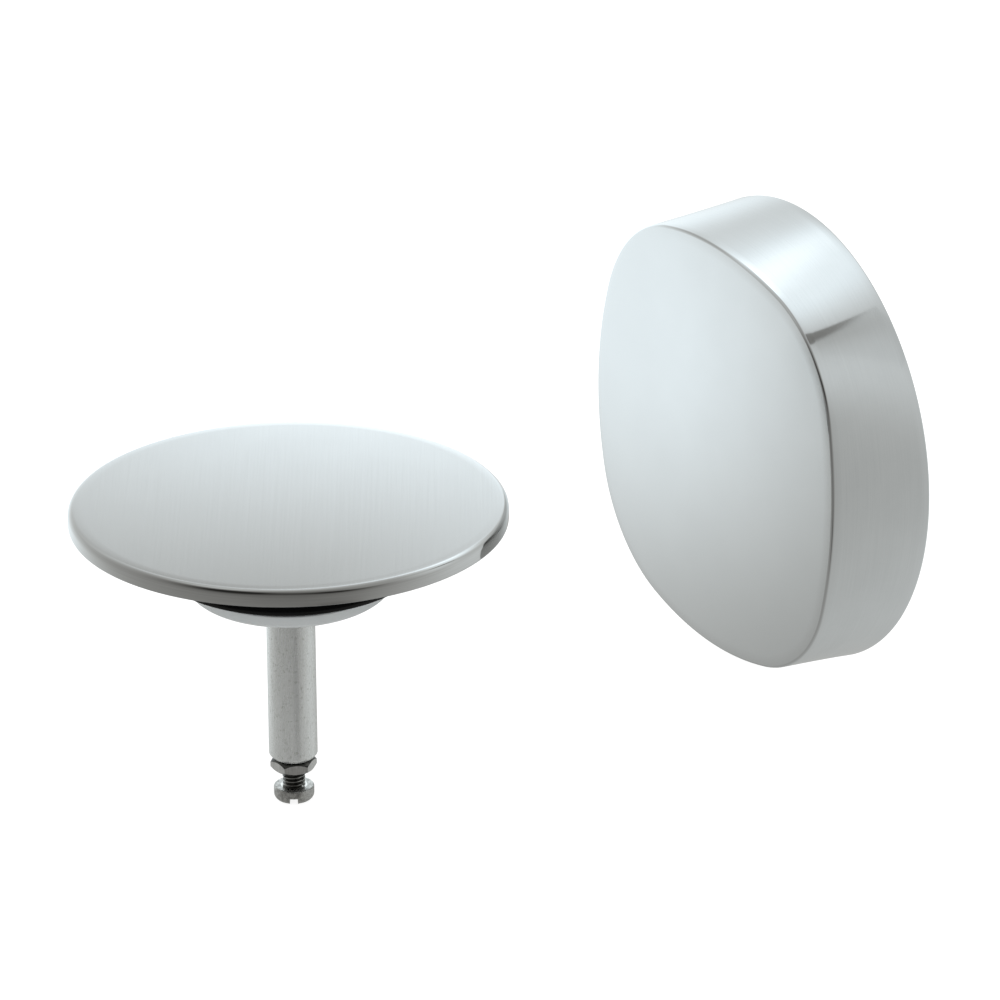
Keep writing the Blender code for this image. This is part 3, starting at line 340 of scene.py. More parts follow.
metalLooks = {
    # grain and mottle are cell sizes in mm, long along the brushing and short across it
    "knobFaceSatin": dict(
        light=(0.85, 0.87, 0.88), dark=(0.78, 0.80, 0.81), rough=(0.23, 0.26), mottle=16,
        mottleTone=0.25, grain=0.25, grainTone=0.06, bump=0.008),
    "knobSideBrushed": dict(
        light=(0.84, 0.86, 0.87), dark=(0.68, 0.70, 0.71), rough=(0.09, 0.12), mottle=14,
        mottleTone=0.25, grain=(18, 0.2, 18), grainTone=0.20, bump=0.016, anisotropy=0.6),
    "knobInsideCast": dict(
        light=(0.62, 0.63, 0.64), dark=(0.46, 0.47, 0.48), rough=(0.42, 0.55), mottle=2.5,
        mottleTone=0.6, grain=0.7, grainTone=0.3, bump=0.5),
    "capTopBrushed": dict(
        light=(0.84, 0.855, 0.865), dark=(0.70, 0.715, 0.72), rough=(0.20, 0.24), mottle=18,
        mottleTone=0.15, grain=(32, 0.22, 0.22), grainTurn=149, grainTone=0.20, bump=0.02,
        anisotropy=0.8),
    "capSideBrushed": dict(
        light=(0.82, 0.83, 0.83), dark=(0.66, 0.67, 0.67), rough=(0.06, 0.09), mottle=12,
        mottleTone=0.25, grain=(16, 16, 0.2), grainTone=0.40, bump=0.03, anisotropy=0.5),
    "stemDrawn": dict(
        light=(0.88, 0.90, 0.90), dark=(0.58, 0.60, 0.57), rough=(0.22, 0.30), mottle=(0.5, 0.5, 7),
        mottleTone=0.25, grain=(0.3, 0.3, 0.4), grainTone=0.30, bump=0.16, mottleRelief=0.5,
        specks=(0.45, 0.45, 0.6), speckTone=0.7, metallic=0.8),
    "nutDrawnFlats": dict(
        light=(0.84, 0.84, 0.83), dark=(0.52, 0.52, 0.51), rough=(0.26, 0.38), mottle=1.1,
        mottleTone=0.5, grain=(0.22, 0.22, 2.4), grainTone=0.5, bump=0.3, metallic=0.95),
    # Painted reflection and shade: the chamfers get a near-black copy of the nut's steel in place of
    # the dark that they reflect and the shade under the stem
    "nutChamferPaintedShade": dict(
        light=(0.17, 0.17, 0.16), dark=(0.04, 0.04, 0.04), rough=(0.18, 0.28), mottle=0.9,
        mottleTone=0.6, grain=(1.6, 1.6, 0.3), grainTone=0.4, bump=0.2),
    "screwHeadNickel": dict(
        light=(0.80, 0.80, 0.78), dark=(0.34, 0.34, 0.33), rough=(0.20, 0.34), mottle=0.55,
        mottleTone=0.75, grain=(0.3, 0.3, 0.3), grainTone=0.5, bump=0.7, mottleRelief=0.8,
        metallic=0.95),
    # The thread's crests and roots are a light and a dark copy of one steel: painted highlight on the
    # crests, painted shade in the roots and at the shank's foot
    "threadCrestPaintedHighlight": dict(
        light=(0.90, 0.90, 0.88), dark=(0.66, 0.66, 0.64), rough=(0.12, 0.20), mottle=0.9,
        mottleTone=0.6, grain=(1.2, 1.2, 0.3), grainTone=0.3, bump=0.1),
    "threadRootPaintedShade": dict(
        light=(0.22, 0.22, 0.21), dark=(0.05, 0.05, 0.05), rough=(0.14, 0.24), mottle=0.9,
        mottleTone=0.6, grain=(1.2, 1.2, 0.3), grainTone=0.3, bump=0.1),
    "screwZinc": dict(
        light=(0.70, 0.72, 0.74), dark=(0.52, 0.54, 0.57), rough=(0.28, 0.38), mottle=1.1,
        mottleTone=0.6, grain=1.1, grainTone=0.3, bump=0.1),
    "springWire": dict(
        light=(0.52, 0.53, 0.54), dark=(0.36, 0.37, 0.38), rough=(0.26, 0.36), mottle=1.1,
        mottleTone=0.6, grain=1.1, grainTone=0.3, bump=0.1),
    "turnedBrass": dict(
        light=(0.80, 0.62, 0.30), dark=(0.62, 0.45, 0.19), rough=(0.24, 0.36), mottle=2,
        mottleTone=0.6, grain=(5, 0.3, 5), grainTone=0.4, bump=0.12),
}
mouldedLooks = {
    "sealBlack": dict(
        light=(0.006, 0.006, 0.006), dark=(0.003, 0.003, 0.003), rough=(0.18, 0.26), mottle=5,
        grain=0.7, bump=0.04, ior=1.28),
    "gasketGrey": dict(
        light=(0.11, 0.11, 0.115), dark=(0.07, 0.07, 0.072), rough=(0.55, 0.7), mottle=2.5,
        grain=0.33, bump=0.3),
    "valveGrey": dict(
        light=(0.42, 0.44, 0.44), dark=(0.38, 0.40, 0.40), rough=(0.36, 0.44), mottle=6,
        grain=0.3, bump=0.08, glowThrough=0.1),
    "capDark": dict(
        light=(0.045, 0.046, 0.048), dark=(0.028, 0.028, 0.03), rough=(0.42, 0.52), mottle=4,
        grain=0.3, bump=0.12),
    "carrierWhite": dict(
        light=(0.78, 0.785, 0.77), dark=(0.71, 0.715, 0.70), rough=(0.40, 0.50), mottle=5.5,
        grain=0.3, bump=0.1, glowThrough=0.2),
    "plateGrey": dict(
        light=(0.44, 0.45, 0.46), dark=(0.37, 0.38, 0.39), rough=(0.42, 0.54), mottle=5,
        grain=0.3, bump=0.12),
    "glideNatural": dict(
        light=(0.84, 0.83, 0.78), dark=(0.77, 0.76, 0.71), rough=(0.34, 0.42), mottle=3.3,
        grain=0.3, bump=0.08, glowThrough=0.3),
}
finishes = {name: metalFinish(name, look) for name, look in metalLooks.items()}
finishes.update({name: mouldedFinish(name, look) for name, look in mouldedLooks.items()})
print("finishes made:", len(finishes))


# Knob shell: turned first, then pinched from the round rear rim to the softly squared face
knobSize = dict(
    faceHalf=38.0, sideArc=69.5, cornerArc=24.8, rimRadius=41.76, blankRadius=40.0,
    facePlane=22.8, rimPlane=5.0, crownArc=316.0, edgeRound=0.45, wall=1.8, rimRound=0.3,
    postRadius=3.2, postCircle=24.5, postEnd=17.5, postBore=1.6, boreEnd=21.5,
    faceShares=(0, .12, .24, .36, .48, .6, .7, .8, .88, .94), insideShares=(.8, .6, .4, .2, 0),
    steps=256, sideSteps=10, insideSteps=(7, 4),
    flatFrom=0.98, sideFrom=0.2, sideReach=0.9)  # these part the face, the side and the inside
screwAngles = evenly(4, 45)  # the shell's posts, the carrier's holes and the screws stand here


def faceReach(angle):  # the face outline is four side arcs joined by four corner arcs
    side, cornerArc = knobSize["sideArc"], knobSize["cornerArc"]
    offset = side - knobSize["faceHalf"]
    reach = side - cornerArc
    corner = (math.sqrt(2 * reach ** 2 - offset ** 2) - offset) / 2
    join = math.atan2(corner, corner + offset)
    joinAngle = math.atan2(side * math.sin(join), side * math.cos(join) - offset)
    folded = abs((angle + quarterTurn / 2) % quarterTurn - quarterTurn / 2)
    if folded <= joinAngle:
        run = offset * math.cos(folded)
        return math.sqrt(run ** 2 + side ** 2 - offset ** 2) - run
    run = corner * (math.cos(folded) + math.sin(folded))
    return math.sqrt(run ** 2 + cornerArc ** 2 - 2 * corner ** 2) + run


def crownHeight(radius):
    rise = (knobSize["faceHalf"] ** 2 - radius ** 2) / (2 * knobSize["crownArc"])
    return knobSize["facePlane"] + rise


def pinch(shape):
    size = knobSize
    depth = size["facePlane"] - size["rimPlane"]
    for vert in shape.verts:
        radius = vert.co.xy.length / mm
        if radius < weld / mm:
            continue
        angle = math.atan2(vert.co.y, vert.co.x)
        down = min(max((size["facePlane"] - vert.co.z / mm) / depth, 0), 1)
        shift = (faceReach(angle) - size["blankRadius"]) * (1 - down)
        inward = min(1, radius / (size["blankRadius"] - size["wall"] - size["edgeRound"]))
        moved = radius + shift * inward
        vert.co.xy *= moved / radius
        vert.co.z += (crownHeight(moved) - crownHeight(radius)) * (1 - down) * mm


def makeKnobShell():
    size = knobSize
    blank, rim, wall = size["blankRadius"], size["rimRadius"], size["wall"]
    top, rimPlane = crownHeight(blank), size["rimPlane"]

    def sidePoint(step, inset):
        share = step / size["sideSteps"]
        return (blank + (rim - blank) * share - inset, top + (rimPlane - top) * share, 0)
    profile = [(blank * share, crownHeight(blank * share), 0) for share in size["faceShares"]]
    profile.append((blank, top, size["edgeRound"]))
    profile += [sidePoint(step, 0) for step in range(1, size["sideSteps"])]
    profile += [(rim, rimPlane, size["rimRound"]), (rim - wall, rimPlane, 0.2)]
    profile += [sidePoint(step, wall) for step in size["insideSteps"]]
    profile.append((blank - wall, top - wall, size["edgeRound"]))
    profile += [(blank * share, crownHeight(blank * share) - wall, 0)
                for share in size["insideShares"]]
    shape = turned(profile, size["steps"], closed=False)
    pinch(shape)
    piece = newPiece(shape, "knobShell", knobPlace)
    posts = pins(screwAngles, size["postCircle"], size["postRadius"], size["postEnd"],
                 size["boreEnd"] + spare)
    carve(piece, posts, knobPlace, 'UNION')
    bores = pins(screwAngles, size["postCircle"], size["postBore"], size["postEnd"] - spare,
                 size["boreEnd"])
    carve(piece, bores, knobPlace)

    def rule(spot, normal):
        if normal.y < -size["flatFrom"]:
            return spot.x * lengthOnMap, spot.z * lengthOnMap
        return spot.y * lengthOnMap, math.atan2(spot.z, spot.x) * turnOnMap
    brushMap(piece, rule)
    outside = (size["facePlane"] - wall / 2) * mm
    sideReach = size["faceHalf"] * size["sideReach"] * mm

    def choose(face):
        flat = Vector((face.center.x, face.center.z))
        outward = Vector((face.normal.x, face.normal.z)).dot(flat.normalized())
        if face.normal.y < -size["flatFrom"] and -face.center.y > outside:
            return 0
        return 1 if outward > size["sideFrom"] and flat.length > sideReach else 2
    dress(piece, "knob", "knob_shell",
          ["knobFaceSatin", "knobSideBrushed", "knobInsideCast"], choose)


makeKnobShell()
print("knob shell made")


# Mounting plate on the wall, with its journal, water windows, screw slots and stops
plateSize = dict(
    radius=33.0, thick=3.6, journal=12.0, bore=9.2, journalTop=14.6, groove=(10.1, 11.9, 11.25),
    gasketRoom=(28.9, 31.7, 1.5), windows=4, windowInner=15.6, windowOuter=20.8, windowAngle=62,
    windowCorner=0.8, windowSteps=28, slots=2, slotCircle=25.6, slotWidth=4.6, slotLength=9.0,
    stopAngles=(33.8, 141.2), stop=(29.0, 31.4, 4.0, 7.8), stopCorner=0.25, steps=180)


def plateWindow(size):
    shape = bmesh.new()
    low, high = -spare, size["thick"] + spare
    corners = [(size["windowInner"], low), (size["windowOuter"], low),
               (size["windowOuter"], high), (size["windowInner"], high)]
    shape.faces.new([shape.verts.new((radius * mm, 0, height * mm)) for radius, height in corners])
    half = math.radians(size["windowAngle"] / 2)
    swept(shape, 0.0, 2 * half, size["windowSteps"])
    ends = [edge for edge in shape.edges if abs(edge.verts[0].co.z - edge.verts[1].co.z) > mm
            and abs(abs(math.atan2(edge.verts[0].co.y, edge.verts[0].co.x)) - half) < angleSlack]
    rounded(shape, ends, size["windowCorner"], 'EDGES', roundSegments)
    return tidied(shape)


def plateSlot(size):
    shape = bmesh.new()
    radius = size["slotWidth"] / 2
    straight = (size["slotLength"] / 2 - radius) * mm
    bmesh.ops.create_circle(shape, cap_ends=True, segments=pinSegments, radius=radius * mm)
    for vert in shape.verts:
        if abs(vert.co.y) > weld:
            vert.co.y += math.copysign(straight, vert.co.y)
    bmesh.ops.translate(shape, verts=shape.verts, vec=(size["slotCircle"] * mm, 0, -spare * mm))
    raised = bmesh.ops.extrude_face_region(shape, geom=shape.faces[:])
    lifted = [part for part in raised["geom"] if isinstance(part, bmesh.types.BMVert)]
    bmesh.ops.translate(shape, verts=lifted, vec=(0, 0, (size["thick"] + 2 * spare) * mm))
    return tidied(shape)


def makeMountingPlate():
    size = plateSize
    thick, journal, journalTop = size["thick"], size["journal"], size["journalTop"]
    grooveLow, grooveHigh, grooveRadius = size["groove"]
    roomInner, roomOuter, roomDepth = size["gasketRoom"]
    shape = turned([
        (journal, journalTop, 0.6), (journal, grooveHigh, 0), (grooveRadius, grooveHigh, 0),
        (grooveRadius, grooveLow, 0), (journal, grooveLow, 0), (journal, thick, 0.3),
        (size["radius"], thick, 0.6), (size["radius"], 0, 0.3), (roomOuter, 0, 0.1),
        (roomOuter, roomDepth, 0), (roomInner, roomDepth, 0), (roomInner, 0, 0.1),
        (size["bore"], 0, 0.5), (size["bore"], journalTop, 0.3),
    ], size["steps"])
    piece = newPiece(shape, "mountingPlate", wallPlace)
    inner, outer, width, high = size["stop"]
    stops = blocks(size["stopAngles"], inner, outer, width, thick - spare, high, size["stopCorner"])
    carve(piece, stops, wallPlace, 'UNION')
    for cutter, count in ((plateWindow, size["windows"]), (plateSlot, size["slots"])):
        for angle in evenly(count):
            carve(piece, cutter(size), wallPlace @ aboutZ(angle))
    dress(piece, "wall_mount", "mounting_plate", ["plateGrey"])


makeMountingPlate()
print("mounting plate made")


# Rings on the plate: the gasket in its groove, the glide ring and the open retaining ring
gasketSize = dict(inner=29.2, outer=31.4, thick=1.2, bead=0.35, beadHalf=0.2, steps=180)
glideSize = dict(inner=12.3, outer=15.0, low=3.9, high=4.9, corner=0.15, steps=144)
retainingSize = dict(wire=0.6, radius=12.15, height=11.0, openAt=0, opening=34, steps=120)


def makeWallGasket():
    size = gasketSize
    middle = (size["inner"] + size["outer"]) / 2
    shape = turned([
        (size["outer"], size["thick"], 0.25), (size["outer"], 0, 0.3),
        (middle + size["beadHalf"], 0, 0.1), (middle, size["bead"], 0.1),
        (middle - size["beadHalf"], 0, 0.1), (size["inner"], 0, 0.3),
        (size["inner"], size["thick"], 0.25),
    ], size["steps"])
    piece = newPiece(shape, "wallGasket", wallPlace)
    dress(piece, "wall_mount", "wall_gasket", ["gasketGrey"])


def makeGlideRing():
    size = glideSize
    inner, outer, low, high = size["inner"], size["outer"], size["low"], size["high"]
    corners = ((inner, low), (outer, low), (outer, high), (inner, high))
    shape = turned([(*corner, size["corner"]) for corner in corners], size["steps"])
    piece = newPiece(shape, "glideRing", wallPlace)
    dress(piece, "wall_mount", "glide_ring", ["glideNatural"])


def wireAt(shape, radius, height, thick, filled):  # the round section of a wire, out from the axis
    spot = Matrix.Translation((radius * mm, 0, height * mm)) @ Matrix.Rotation(quarterTurn, 4, 'X')
    bmesh.ops.create_circle(
        shape, cap_ends=filled, segments=wireSegments, radius=thick * mm, matrix=spot)


def makeRetainingRing():
    size = retainingSize
    shape = bmesh.new()
    wireAt(shape, size["radius"], size["height"], size["wire"], filled=True)
    middle, width = math.radians(size["openAt"] + 180), math.radians(360 - size["opening"])
    piece = newPiece(swept(shape, middle, width, size["steps"]), "retainingRing", wallPlace)
    dress(piece, "wall_mount", "retaining_ring", ["springWire"])


makeWallGasket()
makeGlideRing()
makeRetainingRing()
print("plate rings made")


# Carrier inside the knob: web, flange, sleeve on the journal, drive post, ribs and stop tongue
carrierSize = dict(
    radius=36.79, webRear=15.2, webFront=17.2, flangeRear=12.2, wall=2.0, sleeve=14.9, bore=12.3,
    sleeveRear=5.2, groove=(10.1, 11.9, 13.05), post=8.4, seat=6.8, postRear=6.3,
    ribs=8, ribsFrom=22.5, ribWidth=1.4, ribRear=11.6, ribRoot=0.8, ribCorner=0.2,
    tongue=(29.0, 31.4, 4.0, 4.0), tongueAt=45, tongueCorner=0.25,
    screwCircle=24.5, hole=1.6, steps=192)


def makeKnobCarrier():
    size = carrierSize
    radius, sleeve, bore = size["radius"], size["sleeve"], size["bore"]
    webRear, webFront = size["webRear"], size["webFront"]
    grooveLow, grooveHigh, grooveRadius = size["groove"]
    flangeInner = radius - size["wall"]
    shape = turned([
        (0, webFront, 0), (radius, webFront, 0.6), (radius, size["flangeRear"], 0.3),
        (flangeInner, size["flangeRear"], 0.3), (flangeInner, webRear, 0.5),
        (sleeve, webRear, 0.4), (sleeve, size["sleeveRear"], 0.3),
        (bore, size["sleeveRear"], 0.2), (bore, grooveLow, 0), (grooveRadius, grooveLow, 0),
        (grooveRadius, grooveHigh, 0), (bore, grooveHigh, 0), (bore, webRear, 0.3),
        (size["post"], webRear, 0.3), (size["post"], size["postRear"], 0.3),
        (size["seat"], size["postRear"], 0.2), (size["seat"], webRear, 0), (0, webRear, 0),
    ], size["steps"], closed=False)
    piece = newPiece(shape, "knobCarrier", knobPlace)
    root = size["ribRoot"]
    ribs = blocks(evenly(size["ribs"], size["ribsFrom"]), sleeve - root, flangeInner + root,
                  size["ribWidth"], size["ribRear"], webRear + root, size["ribCorner"])
    carve(piece, ribs, knobPlace, 'UNION')
    inner, outer, width, rear = size["tongue"]
    tongue = blocks((size["tongueAt"],), inner, outer, width, rear, webRear + spare,
                    size["tongueCorner"])
    carve(piece, tongue, knobPlace, 'UNION')
    holes = pins(screwAngles, size["screwCircle"], size["hole"], webRear - 2 * spare,
                 webFront + 2 * spare)
    carve(piece, holes, knobPlace)
    dress(piece, "knob", "knob_carrier", ["carrierWhite"])


makeKnobCarrier()
print("knob carrier made")


# Brass drive bush with a square socket that opens in a short lead
bushSize = dict(
    radius=6.5, rear=6.3, front=14.9, waist=6.2, waistFrom=9.0, waistTo=12.4, waistStep=0.2,
    square=7.2, lead=0.5, steps=96)


def makeDriveBush():
    size = bushSize
    radius, waist, step = size["radius"], size["waist"], size["waistStep"]
    rear, front = size["rear"], size["front"]
    shape = turned([
        (0, front, 0), (radius, front, 0.4), (radius, size["waistTo"], 0),
        (waist, size["waistTo"] - step, 0), (waist, size["waistFrom"] + step, 0),
        (radius, size["waistFrom"], 0), (radius, rear, 0.4), (0, rear, 0),
    ], size["steps"], closed=False)
    piece = newPiece(shape, "driveBush", knobPlace)
    half, lead = size["square"] / 2, size["lead"]
    socket = blocks((0,), -half, half, size["square"], rear - spare, front + spare)
    carve(piece, socket, knobPlace)
    funnel = bmesh.new()
    spot = Matrix.Translation((0, 0, rear * mm)) @ aboutZ(45)
    bmesh.ops.create_cone(funnel, cap_ends=True, segments=4, matrix=spot, depth=2 * lead * mm,
                          radius1=(half + lead) * math.sqrt(2) * mm,
                          radius2=(half - lead) * math.sqrt(2) * mm)
    carve(piece, funnel, knobPlace)
    dress(piece, "knob", "drive_bush", ["turnedBrass"])


# Four cross-recessed screws from the carrier into the shell's posts
carrierScrewSize = dict(
    radius=1.3, head=2.6, headRear=13.2, headFront=14.9, tip=21.2, point=0.5, recess=0.9,
    cross=(1.5, 0.55), crossAt=(20, 110), steps=48)


def makeCarrierScrews():
    size = carrierScrewSize
    radius, tip, point = size["radius"], size["tip"], size["point"]
    headRear, headFront = size["headRear"], size["headFront"]
    reach, width = size["cross"]
    for index, angle in enumerate(screwAngles):
        shape = turned([
            (0, tip, 0), (radius - point, tip, 0), (radius, tip - point, 0),
            (radius, headFront, 0.15), (size["head"], headFront, 0.15),
            (size["head"], headRear, 0.5), (0, headRear, 0),
        ], size["steps"], closed=False)
        out = Matrix.Translation((carrierSize["screwCircle"] * mm, 0, 0))
        spot = knobPlace @ aboutZ(angle) @ out
        piece = newPiece(shape, f"carrierScrew{index + 1}", spot)
        for turn in size["crossAt"]:  # one bar at a time: a cutter of crossed bars removes the screw
            bar = blocks((turn,), -reach, reach, width, headRear - spare, headRear + size["recess"])
            carve(piece, bar, spot)
        dress(piece, "knob", f"carrier_screw_{index + 1}", ["screwZinc"])


makeDriveBush()
makeCarrierScrews()
print("bush and carrier screws made")


# Plug cap: crowned sheet with a rounded edge and a short rim, brushed one way
capSize = dict(
    radius=37.5, height=2.9, sheet=0.8, crown=0.2, edgeRound=1.2, sideMiddle=1.0,
    crownShares=(0, .1, .2, .3, .4, .5, .6, .7, .8, .88, .93), steps=256, brushTurn=149,
    flatFrom=0.98, underFrom=-0.3)  # these part the brushed top, the polished edge and the inside


def makePlugCap():
    size = capSize
    radius, sheet, height = size["radius"], size["sheet"], size["height"]
    top = [(share * radius, height + size["crown"] * (1 - share ** 2), 0)
           for share in size["crownShares"]]
    under = [(across, high - sheet, 0) for across, high, rounding in reversed(top)]
    shape = turned(top + [
        (radius, height, size["edgeRound"]), (radius, size["sideMiddle"], 0), (radius, 0, 0.25),
        (radius - sheet, 0, 0.2), (radius - sheet, height - sheet, size["edgeRound"] - sheet),
    ] + under, size["steps"], closed=False)
    piece = newPiece(shape, "plugCap", plugPlace)
    turn = math.radians(size["brushTurn"])
    along = Vector((math.cos(turn), math.sin(turn)))
    across = Vector((-math.sin(turn), math.cos(turn)))
    centre = plugPlace.translation.xy

    def rule(spot, normal):
        flat = spot.xy - centre
        if abs(normal.z) > size["flatFrom"]:
            return flat.dot(across) * lengthOnMap, flat.dot(along) * lengthOnMap
        return spot.z * lengthOnMap, math.atan2(flat.y, flat.x) * turnOnMap
    brushMap(piece, rule)

    def choose(face):
        if face.normal.z > size["flatFrom"]:
            return 0
        outward = face.normal.xy.dot(face.center.xy - centre)
        return 1 if face.normal.z > size["underFrom"] and outward > 0 else 2
    dress(piece, "plug", "plug_cap",
          ["capTopBrushed", "capSideBrushed", "knobInsideCast"], choose)


makePlugCap()
print("plug cap made")


# Moulding under the cap: web, rim flange, seal seat, boss and two rings of ribs
capCarrierSize = dict(
    radius=36.4, top=1.8, web=0.4, flange=0.2, flangeWall=1.6, seat=16.8, seatWall=1.8,
    boss=7.5, bossBore=5.3, boreTop=0.2, ribWidth=1.2, ribRoot=0.6,
    innerRibs=8, innerRibRise=0.8, innerRibCorner=0.2,
    outerRibs=16, outerRibDrop=0.7, outerRibCorner=0.15, steps=192)
insertSize = dict(radius=5.0, bore=3.3, groove=(4.6, 1.2), steps=96)


def makeCapCarrier():
    size = capCarrierSize
    radius, web, seat, boss = size["radius"], size["web"], size["seat"], size["boss"]
    low = plugHeights("cap_carrier")[0]
    flangeInner = radius - size["flangeWall"]
    seatInner = seat - size["seatWall"]
    shape = turned([
        (0, size["top"], 0), (radius, size["top"], 0.6), (radius, size["flange"], 0.1),
        (flangeInner, size["flange"], 0.1), (flangeInner, web, 0), (seat, web, 0.4),
        (seat, low, 0.3), (seatInner, low, 0.2), (seatInner, web, 0.3), (boss, web, 0.3),
        (boss, low, 0.3), (size["bossBore"], low, 0.1), (size["bossBore"], size["boreTop"], 0),
        (0, size["boreTop"], 0),
    ], size["steps"], closed=False)
    piece = newPiece(shape, "capCarrier", plugPlace)
    root, width = size["ribRoot"], size["ribWidth"]
    innerRibs = blocks(evenly(size["innerRibs"]), boss - root, seatInner + root, width,
                       low + size["innerRibRise"], web + root, size["innerRibCorner"])
    carve(piece, innerRibs, plugPlace, 'UNION')
    outerRibs = blocks(evenly(size["outerRibs"]), seat - root, flangeInner + root, width,
                       web - size["outerRibDrop"], web + root, size["outerRibCorner"])
    carve(piece, outerRibs, plugPlace, 'UNION')
    dress(piece, "plug", "cap_carrier", ["capDark"])


def makeCapInsert():
    size = insertSize
    radius, bore = size["radius"], size["bore"]
    low, high = plugHeights("cap_insert")
    waist, width = size["groove"]
    middle = (low + high) / 2
    shape = turned([
        (radius, high, 0.2), (radius, middle + width / 2, 0), (waist, middle + width / 2, 0),
        (waist, middle - width / 2, 0), (radius, middle - width / 2, 0), (radius, low, 0.2),
        (bore, low, 0.3), (bore, high, 0.3),
    ], size["steps"])
    piece = newPiece(shape, "capInsert", plugPlace)
    dress(piece, "plug", "cap_insert", ["turnedBrass"])


makeCapCarrier()
makeCapInsert()
print("cap carrier and insert made")


# Seal ring: a body with a lip that slopes out and down and ends in a thin rim
sealSize = dict(
    bore=12.3, reach=9.8, topReach=4.2, steps=224,
    # shares across the reach, then down from the top
    lip=((.50, .01), (.60, .05), (.72, .20), (.87, .39), (.965, .50)),
    rim=((.965, .50), (.995, .55), (1.0, .60), (.995, .655), (.975, .672), (.94, .655)),
    under=((.94, .655), (.86, .61), (.78, .61), (.70, .65), (.56, .79), (.51, .92), (.50, .99)))
oRingSize = dict(section=0.6, radius=3.9, steps=96)


def makeSealRing():
    size = sealSize
    bore = size["bore"]
    low, high = plugHeights("seal_ring")
    lip, rim, under = (smoothRun(size[name]) for name in ("lip", "rim", "under"))
    curve = [(bore + across * size["reach"], high - down * (high - low), 0)
             for across, down, rounding in lip[:-1] + rim[:-1] + under]
    profile = [(bore, high, 0.2), (bore + size["topReach"], high, 0)] + curve + [(bore, low, 0.2)]
    piece = newPiece(turned(profile, size["steps"]), "sealRing", plugPlace)
    dress(piece, "plug", "seal_ring", ["sealBlack"], smoothAngle=50)


def makeNeckORing():
    size = oRingSize
    low, high = plugHeights("neck_o_ring")
    shape = bmesh.new()
    wireAt(shape, size["radius"], (low + high) / 2, size["section"], filled=False)
    piece = newPiece(spun(shape, size["steps"]), "neckORing", plugPlace)
    dress(piece, "plug", "neck_o_ring", ["sealBlack"])


# Valve body: flange below the seal, shallow bowl, stem socket and cored neck
valveSize = dict(
    neck=12.0, neckInner=10.2, tube=6.0, tubeBore=3.3, socket=4.5, collar=6.1, flange=17.5,
    lower=17.1, sealGap=0.3, flangeHeight=1.9, flangeFoot=(0.05, 0.1), socketDepth=3.7,
    coreFloor=0.6, tubeDrop=1.5, steps=192,
    bowl=((.985, .04), (.94, .16), (.83, .37), (.66, .64), (.49, .85), (.38, .97)))


def makeValveBody():
    size = valveSize
    lower = size["lower"]
    low, high = plugHeights("valve_body")
    flangeTop = plugHeights("seal_ring")[0] - size["sealGap"]
    bowlTop = flangeTop - size["flangeHeight"]
    socketTop, tubeTop = low + size["socketDepth"], high - size["tubeDrop"]
    coreFloor = flangeTop + size["coreFloor"]
    footOut, footUp = size["flangeFoot"]
    bowl = [(across * lower, bowlTop - down * (bowlTop - low)) for across, down in size["bowl"]]
    profile = [
        (size["neck"], high, 0.4), (size["neck"], flangeTop, 0.2),
        (size["flange"], flangeTop, 0.3), (lower + footOut, bowlTop + footUp, 0),
    ] + smoothRun(bowl) + [
        (size["collar"], low, 0.1), (size["socket"], low, 0.15), (size["socket"], socketTop, 0),
        (size["tubeBore"], socketTop, 0), (size["tubeBore"], tubeTop, 0.2),
        (size["tube"], tubeTop, 0.3), (size["tube"], coreFloor, 0.3),
        (size["neckInner"], coreFloor, 0.3), (size["neckInner"], high, 0.2),
    ]
    piece = newPiece(turned(profile, size["steps"]), "valveBody", plugPlace)
    dress(piece, "plug", "valve_body", ["valveGrey"])


makeSealRing()
makeNeckORing()
makeValveBody()
print("seal, O-ring and valve body made")


# Stem with a blind bore at each end, and the threaded stud in its upper one
stemSize = dict(
    radius=4.2, studBore=3.3, studRoom=8.3, screwBore=2.3, screwRoom=13.1, chamfer=(0.6, 0.7),
    steps=128)
studSize = dict(crest=3.0, root=2.4, pitch=1.0, stepsPerTurn=32)


def makeStem():
    size = stemSize
    radius = size["radius"]
    low, high = plugHeights("stem")
    inset, rise = size["chamfer"]
    studEnd = high - size["studRoom"]
    screwEnd = low + size["screwRoom"]
    shape = turned([
        (0, studEnd, 0), (size["studBore"], studEnd, 0), (size["studBore"], high, 0.1),
        (radius, high, 0.15), (radius, (low + high) / 2, 0), (radius, low + rise, 0.12),
        (radius - inset, low, 0.1), (size["screwBore"], low, 0.2),
        (size["screwBore"], screwEnd, 0), (0, screwEnd, 0),
    ], size["steps"], closed=False)
    piece = newPiece(shape, "plugStem", plugPlace)
    dress(piece, "plug", "stem", ["stemDrawn"], smoothAngle=28)


def makeStemStud():
    low, high = plugHeights("stem_stud")
    piece = newPiece(threaded(studSize, low, high), "stemStud", plugPlace)
    dress(piece, "plug", "stem_stud", ["screwZinc"], smoothAngle=28)


makeStem()
makeStemStud()


# Thin hexagon nut: a turned and chamfered blank, cut by six flats
nutSize = dict(
    acrossFlats=7.0, cornerAt=7.5, cornerSpare=0.02, bore=1.75, lead=0.3, chamferFrom=0.92,
    chamferSlope=38, flatBelow=0.1, steps=192)  # faces flatter to the axis than that one are flats


